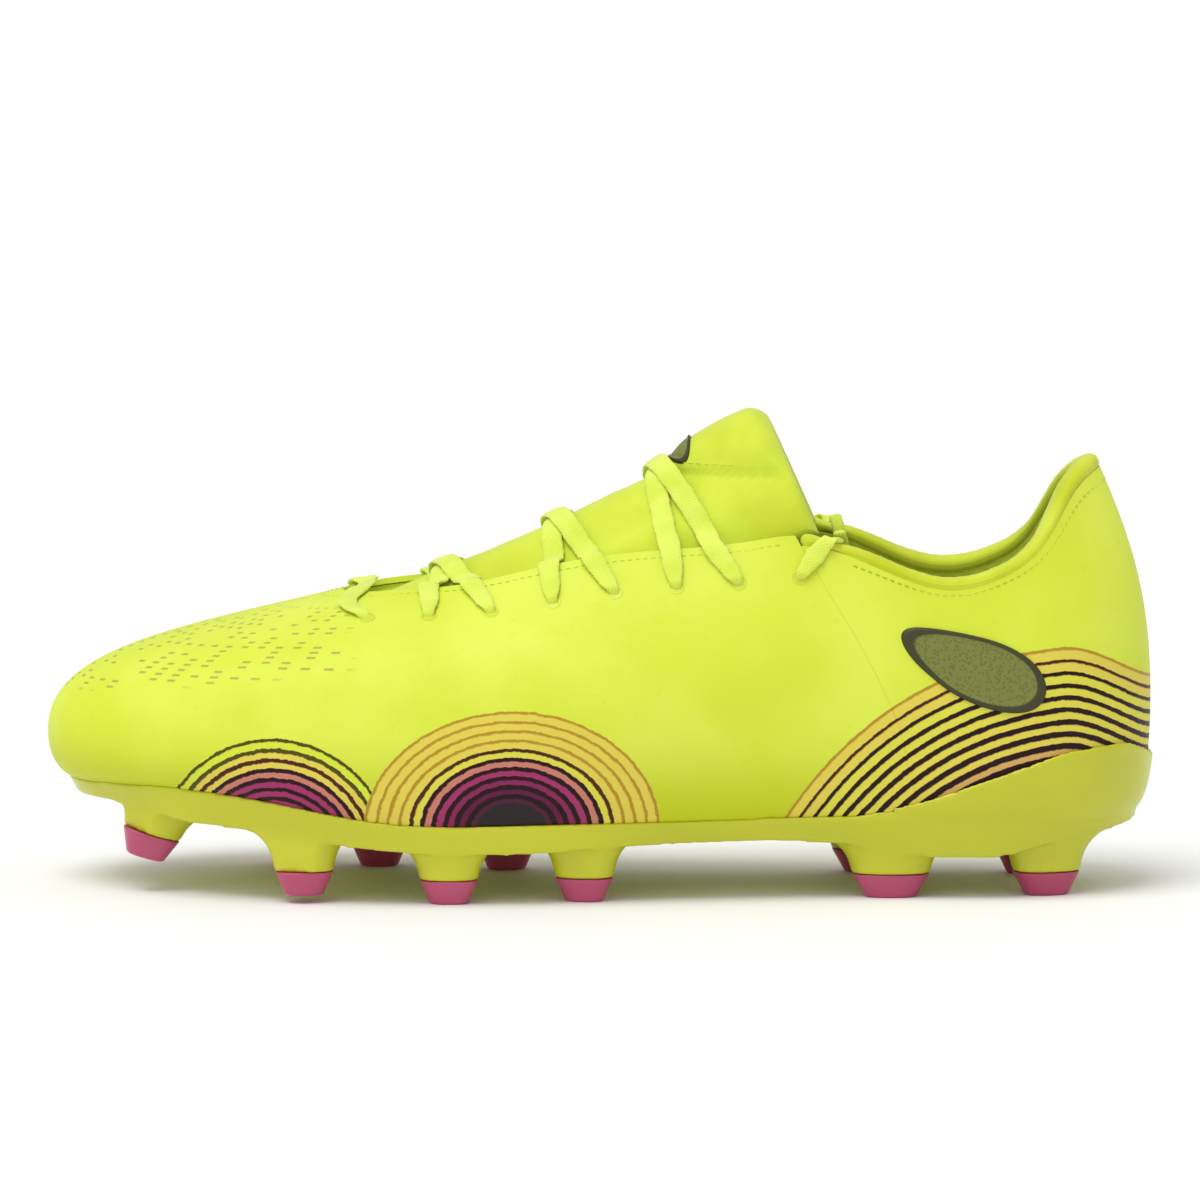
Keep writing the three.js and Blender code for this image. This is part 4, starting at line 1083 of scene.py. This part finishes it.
def tongue_face(t, a):
    """t runs from the stitched end to the free top, a from the outer edge, -1, to the inner one, 1.
    The sides spread out under the throat's edges, and in front the inner one lies closer to its edge."""
    t, a = np.broadcast_arrays(np.asarray(t, float), np.asarray(a, float))
    sizes = width_curve(t)
    wings = 0.44 * smooth(0.8, 0.6, t) * smooth(0.5, 1, np.abs(a))
    inner_front = 0.2 * smooth(0.52, 0.36, t) * smooth(0.4, 0.9, a)
    fall = sizes[..., 1] * np.abs(a) ** 2.6 * (1 - (wings + inner_front))
    shift = np.stack([fall * math.sin(TONGUE_LEAN), sizes[..., 0] * a, -fall * math.cos(TONGUE_LEAN)], -1)
    return ridge_curve(t) + shift


def tongue_point(t, a, depth):
    t, a = np.asarray(t, float), np.asarray(a, float)
    along = tongue_face(np.minimum(1, t + 0.01), a) - tongue_face(np.maximum(0, t - 0.01), a)
    across = tongue_face(t, a + 0.02) - tongue_face(t, a - 0.02)
    return tongue_face(t, a) - scaled(unit(np.cross(along, across)), depth)


def tongue_thickness(t):
    return 0.9 + GAP + 1.6 + 2.2 * smooth(0.5, 0.8, t) + GAP + 0.8


def tongue_puff(points):
    """How far the tongue's face swells out over its seam, and sinks along it."""
    above = points[..., 2] - TONGUE_SEAM_Z
    pillow = 1.7 * smooth(0.2, 6.5, above)
    groove = 1.0 * np.exp(-((above / 0.75) ** 2))
    recess = 0.7 * smooth(-9, -1, above) * smooth(0.4, -0.6, above)
    return (pillow - groove - recess) * smooth(-6, 6, points[..., 0])


def bend_with_top(obj):
    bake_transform(obj)


def add_tongue(looks):
    along, across = spaced(TONGUE_LENGTH, 0.9), spaced(TONGUE_GIRTH, 0.9)
    t, a = np.meshgrid(along, 2 * across - 1, indexing="ij")
    a *= 1.06 + 0.19 * smooth(0.8, 0.6, t)
    face = tongue_face(t, a)
    thick = tongue_thickness(t)
    near = border_distance(face)
    fullness = rounded(near, 0.5 * thick, 0.003)
    puff = tongue_puff(face) * smooth(0, 5, near)
    quilted = smooth(0.75, 0.6, np.abs(a)) * smooth(0.15, 0.3, t) * smooth(0.72, 0.6, t)
    quilt = 0.1 * np.sin(t * 95) * quilted
    middle = thick / 2
    front = tongue_point(t, a, middle * (1 - fullness) - puff - quilt * 0.5)
    back = tongue_point(t, a, middle * (1 + fullness))
    cloth = {
        "along": np.tile((t * TONGUE_LENGTH).ravel(), 2),
        "up": np.tile((a * TONGUE_GIRTH / 2).ravel(), 2),
    }
    nodes = [f"tongue_{part}" for part in ("face", "pad", "lining", "top_face", "top_pad", "top_lining")]
    shape = (*shell(front, back), cloth)
    tongue = add_piece("tongue", shape, looks["tongue"], "tongue_textile", *nodes, body=None, sharp=80)
    bend_with_top(tongue)

    seam = []
    for side in (-1, 1):
        shares = side * np.linspace(0.05, 0.9, 160)
        line = np.array([tongue_at_height(share, TONGUE_SEAM_Z + 1.9) for share in shares])
        line_points = tongue_point(line, shares, -tongue_puff(tongue_face(line, shares)))
        out = unit(line_points - tongue_point(line, shares, 1.0))
        kept = line < 0.87
        seam += stitch_row(line_points[kept], out[kept], pitch=2.2, length=1.6, radius=0.22)
    bend_with_top(add_piece("tongue_stitches", joined(seam), looks["thread"], "tongue_textile", body=None))


def tongue_at_height(a, z):
    """How far along the tongue its face passes a height, at one share of its width."""
    return bisect(0.3, 1, lambda t: tongue_face(t, a)[2] < z)


# ---------------------------------------------------------------- the lace
LACE_WIDTH = 5.5
LACE_THICK = 1.1
LACE_BUNCHED = 2.3  # width inside an eyelet
LACE_OVER = 0.95  # of its middle above what it lies on
LACE_LIFT = 1.35  # of a crossing over the one below it
TAIL_WIDTH = 3.2
TAIL_THICK = 1.4
AGLET_WIDTH = 2.8


def tongue_section_of(point):
    """The tongue section that leans through a point."""
    def is_before(middle):
        dx, _, dz = point - ridge_curve(np.float64(middle))
        return dx * math.cos(TONGUE_LEAN) + dz * math.sin(TONGUE_LEAN) > 0

    return bisect(0, 1, is_before)


def station(at, across, width=LACE_WIDTH, thick=LACE_THICK):
    """Where the lace is, which way its width lies, and how wide and thick it is there."""
    return np.array([*at, *across, width, thick])


def row_direction(p, side):
    return unit(last_point(p - side * 0.1, EYELET_V) - last_point(p + side * 0.1, EYELET_V))


def through_eyelet(side, number, goal):
    """From the topline at the loop coordinate goal into an eyelet."""
    p = EYELET_COLUMNS[side][number - 1]
    along = row_direction(p, side)

    def over(share, width=LACE_WIDTH, thick=LACE_THICK):
        q = p + (goal - p) * share
        v = EYELET_V + (1 - EYELET_V) * share
        return station(skin_point(q, v, -LACE_OVER), along, width, thick)

    return [
        over(0.56, 5),
        over(0.28, 4.3),
        over(0.07, 3, 1.2),
        station(skin_point(p, EYELET_V, 0.8), along, LACE_BUNCHED, 1.4),
        station(skin_point(p, EYELET_V, LINING_DEPTH + LINING + 0.6), along, LACE_BUNCHED, 1.4),
    ]


def edge_column(section, side):
    """The loop coordinate where the topline crosses a section of the tongue."""
    def place(middle):
        return LOOP - middle if side > 0 else middle

    def is_before(middle):
        return tongue_section_of(skin_point(place(middle), 1, 0)) < section

    return place(bisect(0.5, 9, is_before))


def over_throat(outer_number, inner_number, lift):
    """Over the throat from an outer eyelet to an inner one, pulled straight where the tongue lies lower."""
    sides = [(-1, outer_number), (1, inner_number)]
    columns = [EYELET_COLUMNS[side][number - 1] for side, number in sides]
    first, last = (tongue_section_of(skin_point(p, EYELET_V, 0)) for p in columns)
    if outer_number == inner_number:
        first = last = min(first, last)

    def section_at(share):
        return first + (last - first) * share

    goals = [edge_column(section_at(0.16), -1), edge_column(section_at(0.84), 1)]
    start, end = (
        station(skin_point(goal, 1, -LACE_OVER), row_direction(p, side))
        for goal, p, (side, _) in zip(goals, columns, sides)
    )
    middle = []
    for a in (-0.9, -0.76, -0.62, -0.45, -0.2, 0.2, 0.45, 0.62, 0.76, 0.9):
        above = LACE_OVER + lift * (1 - smooth(0.3, 0.85, abs(a)))
        t = section_at(0.5 + 0.34 * a)
        at = tongue_point(t, a, -above)
        across = unit(tongue_point(min(1, t + 0.03), a, -above) - at)
        share = (at[1] - start[1]) / (end[1] - start[1])
        at[2] = max(at[2], start[2] + (end[2] - start[2]) * share)
        middle.append(station(at, across))
    clear = 1.5
    middle = [s for s in middle if start[1] + clear < s[1] < end[1] - clear]
    return [
        *through_eyelet(-1, outer_number, goals[0])[::-1],
        start,
        *middle,
        end,
        *through_eyelet(1, inner_number, goals[1]),
    ]


def under_run(side, start, end):
    """Along the inside of the lining from one eyelet to the next."""
    depth = LINING_DEPTH + LINING + 1.6
    stations = []
    for share in (0.18, 0.5, 0.82):
        first, last = (EYELET_COLUMNS[side][number - 1] for number in (start, end))
        p = first + (last - first) * share
        at = skin_point(p, EYELET_V, depth)
        stations.append(station(at, unit(skin_point(p, EYELET_V + 0.05, depth) - at), 3.4, 1.2))
    return stations


def last_rise(side):
    """Up from the last eyelet and over the collar's edge, where the free end begins."""
    p = EYELET_COLUMNS[side][EYELETS - 1]
    goal = p - side * 0.45
    along = row_direction(p, side)
    inside = skin_point(p - side * 0.52, 1, 1.4) + np.array([0, 0, 0.2])
    return [
        *through_eyelet(side, EYELETS, goal)[::-1],
        station(skin_point(goal, 1, -LACE_OVER), along, 3.6),
        station(inside, along, 3.6),
    ]


def lace_route():
    return [
        *last_rise(-1)[::-1],
        *under_run(-1, 8, 7),
        *over_throat(7, 6, LACE_LIFT),
        *under_run(1, 6, 5),
        *over_throat(4, 5, 0)[::-1],
        *under_run(-1, 4, 3),
        *over_throat(3, 2, LACE_LIFT),
        *under_run(1, 2, 1),
        *over_throat(1, 1, 0)[::-1],
        *under_run(-1, 1, 2),
        *over_throat(2, 3, 0),
        *under_run(1, 3, 4),
        *over_throat(5, 4, LACE_LIFT)[::-1],
        *under_run(-1, 5, 6),
        *over_throat(6, 7, 0),
        *under_run(1, 7, 8),
        *last_rise(1),
    ]


def braid(stations, per_span=9, sides=16, round_ends=False):
    """A flat lace through the stations: its shape with cloth coordinates, and its middle line."""
    stations = np.asarray(stations)
    t = np.linspace(0, 1, per_span * (len(stations) - 1) + 1)
    at = catmull(stations[:, :3])(t)
    place, knots = t * (len(stations) - 1), np.arange(len(stations))
    rest = np.stack([np.interp(place, knots, values) for values in stations[:, 3:].T], -1)
    along = unit(np.gradient(at, axis=0))
    flat = rest[:, :3] - scaled(along, np.einsum("ij,ij->i", rest[:, :3], along))
    flat = unit(flat)
    run = run_along(at)
    width, thick = rest[:, 3], rest[:, 4]
    width = width * (1 + 0.03 * np.sin(run * 0.9) + 0.02 * np.sin(run * 2.3))
    if round_ends:
        close = rounded(np.minimum(run, run[-1] - run), 0.8, 0.05)
        width, thick = width * close, thick * close
    cos, sin = circle(sides)
    across, high = width[:, None] / 2 * squarish(cos, 0.75), thick[:, None] / 2 * squarish(sin, 0.9)
    points, faces = loft(swept(at, flat, np.cross(along, flat), across, high))
    return (points, faces, {"along": np.repeat(run, sides), "up": across.ravel()}), at


def add_lace(looks):
    shape, _ = braid(lace_route())
    add_piece("lace", shape, looks["lace"], "lace", "lace", sharp=80)


def add_tails(looks):
    """The lace's free ends with their aglets."""
    for side, route in TAILS.items():
        shape = aglet_shape(*np.array(route["aglet"], float))
        aglet = add_piece(
            f"aglet_{side}_tube", shape, looks["aglet"], "aglet", f"aglet_{side}", body=SOCKLINER, sharp=70
        )
        into_aglet = 0.9 * np.array(route["loop"][-1]) + 0.1 * np.array(route["aglet"][1])
        line = np.array([*route["hang"], *route["loop"], into_aglet], float)
        flat = unit(np.cross(np.gradient(line, axis=0), [0, 0, 1.0]))
        hanging = smooth(32, 60, line[:, 2])[:, None]
        flat = unit(flat * (1 - hanging) + np.array([1.0, 0, 0]) * hanging)
        stations = [station(at, across, TAIL_WIDTH, TAIL_THICK) for at, across in zip(line, flat)]
        shape, middle = braid(stations, per_span=12, sides=14, round_ends=True)
        nodes = (f"lace_end_{side}", f"lace_loop_{side}")
        tail = add_piece(f"lace_tail_{side}", shape, looks["lace"], "lace", *nodes, body=None, sharp=80)
        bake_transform(tail)


def aglet_shape(start, end):
    """A crimped plastic sleeve on the lace's end, rounded where it ends."""
    along = unit(end - start)
    side = unit(np.cross(along, [0, 0, 1.0]))
    up = np.cross(side, along)
    length = np.linalg.norm(end - start)
    shares = (0, 0.005, 0.02, 0.05, 0.08, 0.1, 0.12, 0.3, 0.6, 0.9, 0.95, 0.98, 0.995, 1.0)
    sizes = (0.8, 0.95, 1.0, 1.0, 1.0, 0.93, 1.0, 0.97, 0.95, 0.93, 0.86, 0.72, 0.5, 0.15)
    cos, sin = circle(18)
    section = np.outer(cos, side) + 0.86 * np.outer(sin, up)
    middles = [start + along * length * share for share in shares]
    return loft(np.array([middle + AGLET_WIDTH / 2 * size * section for middle, size in zip(middles, sizes)]))


# ---------------------------------------------------------------- the bottom
def sole_grid(inset, height, across=41, columns=150):
    """A grid of points across the shoe, inset from the feather line and so high above it."""
    share = np.linspace(0, 1, columns)
    column = HEEL * (0.5 - 0.5 * np.cos(np.pi * share)) * 0.35 + HEEL * share * 0.65
    a = np.linspace(-1, 1, across)
    outer = strip(column)[:, :3] - inset * outward(column)
    inner = strip(LOOP - column)[:, :3] - inset * outward(LOOP - column)
    share_across = (a[None, :, None] + 1) / 2
    points = outer[:, None] * (1 - share_across) + inner[:, None] * share_across
    points[..., 2] += height(column[:, None], a[None, :])
    return points


def add_sockliner(looks):
    def lifted(level, rise):
        return lambda column, a: level + rise * np.abs(a) ** 6

    foam = shell(sole_grid(5.2, lifted(5.6, 0.9)), sole_grid(5.5, lifted(2.3, 0)))
    base = add_piece("sockliner_base", foam, looks["foam"], "foam", "sockliner_foam", body=SOCKLINER)

    top = sole_grid(5.1, lifted(6.95, 1.1))
    near = border_distance(top)
    top[..., 2] -= rounding(near, 0.7)
    top[..., 2] -= 0.28 * np.exp(-(((near - 5) / 0.5) ** 2))
    points, faces = shell(top, sole_grid(5.1, lifted(5.75, 0.9)))
    shape = (points, faces, {"along": points[:, 0], "up": points[:, 1]})
    look = looks["sockliner"]
    add_piece("sockliner_top", shape, look, "sockliner_cover", "sockliner_cover", body=SOCKLINER)


def v_at_height(p, z):
    return bisect(0, 0.6, lambda v: last_point(p, v)[2] < z)


def heel_cup():
    """The wall of the plate that stands up round the heel."""
    columns = CUP_FRONT + (LOOP - 2 * CUP_FRONT) * np.linspace(0, 1, 220)
    rim_height = np.interp(from_toe(columns), list(CUP_RIM), list(CUP_RIM.values()))
    rim_height = np.convolve(np.pad(rim_height, 4, "edge"), np.ones(9) / 9, "valid")
    rims = np.array([v_at_height(p, z) for p, z in zip(columns, rim_height)])
    p, share = np.meshgrid(columns, np.linspace(0, 1, 26), indexing="ij")
    v = rims[:, None] * share
    thickness = 0.15 + 1.2 * smooth(CUP_FRONT, 9.2, from_toe(p))
    outer, inner = skin_point(p, v, -thickness), skin_point(p, v, -0.05)
    for wall in (outer, inner):
        wall[:, 0, 2] -= CUP_TUCK
    return shell(outer, inner)


def super_ring(stud, scale_x, scale_y, z, sides=48, power=0.8):
    """A section of a stud, scaled from its own half sizes, at a height."""
    x, y, foot, turn, tilt, rx, ry = stud
    cos, sin = circle(sides)
    u = rx * scale_x * squarish(cos, power)
    v = ry * scale_y * squarish(sin, power)
    c, s = math.cos(math.radians(turn)), math.sin(math.radians(turn))
    ahead, across = u * c - v * s, u * s + v * c
    lean = (z - foot - TIP_HEIGHT) * tilt
    return np.stack([x + lean + ahead, y + across, z - tilt * ahead], -1)


def plate_drop(column):
    return np.interp(from_toe(column), np.arange(HEEL + 1), PLATE_DROP)


def underside(column, a):
    """How far the plate's underside is above the feather line's height, by strip and across."""
    drop = plate_drop(column)
    return (1 + 0.6 * np.maximum(0, drop - 4)) * (1 - np.abs(a) ** 6) - drop


def underside_height(x, y):
    """How high the plate's underside is at a place."""
    column = bisect(0, HEEL, lambda middle: strip(np.float64(middle))[0] < x)
    outer, inner = strip(np.float64(column)), strip(np.float64(LOOP - column))
    a = 2 * (y - outer[1]) / (inner[1] - outer[1]) - 1
    return outer[2] + underside(column, min(1, abs(a)))


def within_sole(points, inset):
    """The points, moved across the shoe where they lie outside the sole's outline."""
    near = np.linspace(0.3, HEEL, 200)
    low, high = (np.interp(points[:, 0], *strip(column)[:, :2].T) for column in (near, LOOP - near))
    points[:, 1] = np.clip(points[:, 1], low + inset, high - inset)
    return points


# How far up a stud's base each section is, and how it is scaled along and across the stud.
BASE_PROFILE = [
    (0, 1, 1), (0.2, 1.05, 1.03), (0.4, 1.12, 1.07), (0.6, 1.24, 1.13), (0.78, 1.42, 1.2),
    (0.9, 1.62, 1.27), (1, 1.88, 1.35),
]
BASE_IN_PLATE = 2.6  # how far it runs up into the plate

# The scale and height of each section of a stud's tip, from the dish in its sole to its top.
TIP_PROFILE = [
    (0.1, 0.45), (0.3, 0.42), (0.42, 0.2), (0.5, 0.03), (0.55, 0.0), (0.6, 0.06), (0.645, 0.22),
    (0.68, 0.5), (0.705, 0.95), (0.78, 2.3), (0.86, 3.7), (0.94, 5.1), (0.985, 5.85), (0.982, 6.0),
    (0.95, 6.1), (0.5, 6.12),
]


def stud_base(stud):
    """A stud's base, which spreads along the shoe as it nears the plate."""
    meet, root = stud[2] + TIP_HEIGHT, underside_height(*stud[:2])
    rings = [super_ring(stud, sx, sy, meet + share * (root + 0.4 - meet)) for share, sx, sy in BASE_PROFILE]
    rings.append(super_ring(stud, *BASE_PROFILE[-1][1:], root + BASE_IN_PLATE))
    return loft(np.array([within_sole(ring, 0.4) for ring in rings]))


def rail(points, radius):
    """A rounded rib through the points."""
    line = catmull(points)(np.linspace(0, 1, 40))
    along = unit(np.gradient(line, axis=0))
    side = unit(np.cross(along, [0, 0, 1.0]))
    cos, sin = circle(16)
    close = radius * np.sqrt(np.clip(1 - np.linspace(-1, 1, 40) ** 16, 0.03, 1))[:, None]
    return loft(swept(line, side, np.cross(side, along), close * cos, close * sin))


def sole_ribs():
    """Ribs under the plate: two along the waist, and one between each pair of neighbouring studs."""
    def under(x, y):
        return (x, y, underside_height(x, y) + 0.3)

    rows = [
        [f"{place}_{side}" for place in ("toe", "front", "ball", "mid", "heel_front", "heel_back")]
        for side in ("outer", "inner")
    ]
    pairs = [pair for row in rows for pair in zip(row, row[1:]) if pair[0] != row[3]]
    pairs += zip(*rows)
    ribs = [rail([under(x, y) for x in (-44, -14, 16, 46, 78)], 2.3) for y in (-8.5, 6.5)]
    for first, second in pairs:
        a, b = np.array(STUDS[first][:2]), np.array(STUDS[second][:2])
        ribs.append(rail([under(*(a + (b - a) * share)) for share in (0, 0.33, 0.67, 1)], 1.5))
    return ribs


PLATE_VOXEL = 0.00065  # in metres, of the mesh that joins the plate's parts
PLATE_TOP = 0.8  # of the slab above the feather line


def add_plate(looks):
    """The plate: slab, heel cup, stud bases and ribs grown together with soft fillets."""
    slab = shell(sole_grid(-PLATE_LEDGE, lambda column, a: PLATE_TOP), sole_grid(0.6, underside))
    parts = [slab, heel_cup(), *(stud_base(stud) for stud in STUDS.values()), *sole_ribs()]
    plate = object_from(mesh_from("plate", *joined(parts)))
    remesh = plate.modifiers.new("grown_together", "REMESH")
    remesh.mode = "VOXEL"
    remesh.voxel_size = PLATE_VOXEL
    soften = plate.modifiers.new("fillets", "SMOOTH")
    soften.factor = 0.5
    soften.iterations = 5
    applied(plate)
    plate.data.shade_smooth()
    dress(plate, looks["plate"], "sole_plate", "sole_plate")


def add_tips(looks):
    """A pink tip under every stud base, with a rounded edge and a shallow dish in its sole."""
    for name, stud in STUDS.items():
        rings = np.array([super_ring(stud, scale, scale, stud[2] + height) for scale, height in TIP_PROFILE])
        add_piece(f"tip_{name}", loft(rings), looks["tip"], "stud_tip", f"stud_tip_{name}", sharp=60)


# ---------------------------------------------------------------- everything together
def carried_over(looks):
    """Looks for the stiffeners and the board, which stay as the CAD has them."""
    stiffeners = ("toe_puff", "heel_counter", "eyestay_outer", "eyestay_inner")
    for name, look in [(name, "stiffener") for name in stiffeners] + [("insole_board", "board")]:
        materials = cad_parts[name].data.materials
        materials.clear()
        materials.append(looks[look])


GROUND_HALF = 30  # half the side of the ground, in metres
WORLD_STRENGTH = 0.64


def add_studio():
    ground = bmesh.new()
    bmesh.ops.create_grid(ground, x_segments=8, y_segments=8, size=GROUND_HALF)
    mesh = bpy.data.meshes.new("ground")
    ground.to_mesh(mesh)
    ground.free()
    floor = object_from(mesh)
    mesh.materials.append(ground_look())
    world = bpy.data.worlds.new("studio")
    world.use_nodes = True
    background = world.node_tree.nodes["Background"]
    background.inputs["Color"].default_value = (1, 1, 1, 1)
    background.inputs["Strength"].default_value = WORLD_STRENGTH
    bpy.context.scene.world = world
    bpy.context.scene.view_settings.view_transform = "Standard"
    add_lamp("overhead", (-0.25, -0.3, 1), 1.55, 35)
    add_lamp("key", (-0.9, -1.3, 1.2), 0.35, 60)


def soft_looks():
    def cloth(name, red, green, blue, deep, *weave, **more):
        return textile_look(name, linear(red, green, blue), deep, *weave, **more)

    tongue_deep = linear(196, 210, 48)
    return {
        "lining": cloth("lining", 212, 224, 84, LIME_DEEP, 1.3, 1.0, 0.12),
        "binding": cloth("collar_binding", 210, 224, 66, LIME_DEEP, 1.0, 1.0, 0.08),
        "tongue": cloth("tongue_textile", 210, 226, 68, tongue_deep, 0.9, 1.0, 0.03, contrast=0.15),
        "sockliner": cloth("sockliner_cover", 206, 222, 72, LIME_SHADE, 1.4, 1.4, 0.15),
        "thread": cloth("thread", 224, 240, 92, LIME_SHADE, 0.8, 0.8, 0.1),
        "foam": foam_look("foam", linear(232, 230, 200), linear(196, 192, 150)),
        "board": fibre_look("insole_board", linear(228, 222, 208), linear(196, 186, 164)),
        "stiffener": fibre_look("stiffener", linear(216, 212, 202), linear(182, 178, 166)),
        "lace": lace_look(),
    }


def plastic_looks():
    plate = [linear(200, 202, 26), linear(188, 190, 20)]
    tip = [linear(186, 72, 112), linear(168, 54, 94)]
    aglet = [linear(232, 240, 138), linear(214, 226, 96)]
    return {
        "rim": plastic_look("eyelet_rim", LIME, LIME_DEEP, 0.5, LIME_DEEP),
        "plate": plastic_look("sole_plate", *plate, 0.36, linear(150, 158, 40), 9),
        "tip": plastic_look("stud_tip", *tip, 0.34, linear(140, 70, 96), 5),
        "aglet": plastic_look("aglet", *aglet, 0.22, LIME_SHADE),
        "badge": badge_look(),
    }


def build():
    add_camera()
    looks = {"skin": skin_look(), **soft_looks(), **plastic_looks()}
    add_tails(looks)
    add_upper(looks)
    add_stitches(looks)
    add_badges(looks)
    add_tongue(looks)
    add_lace(looks)
    add_sockliner(looks)
    add_plate(looks)
    add_tips(looks)
    carried_over(looks)
    add_studio()


build()
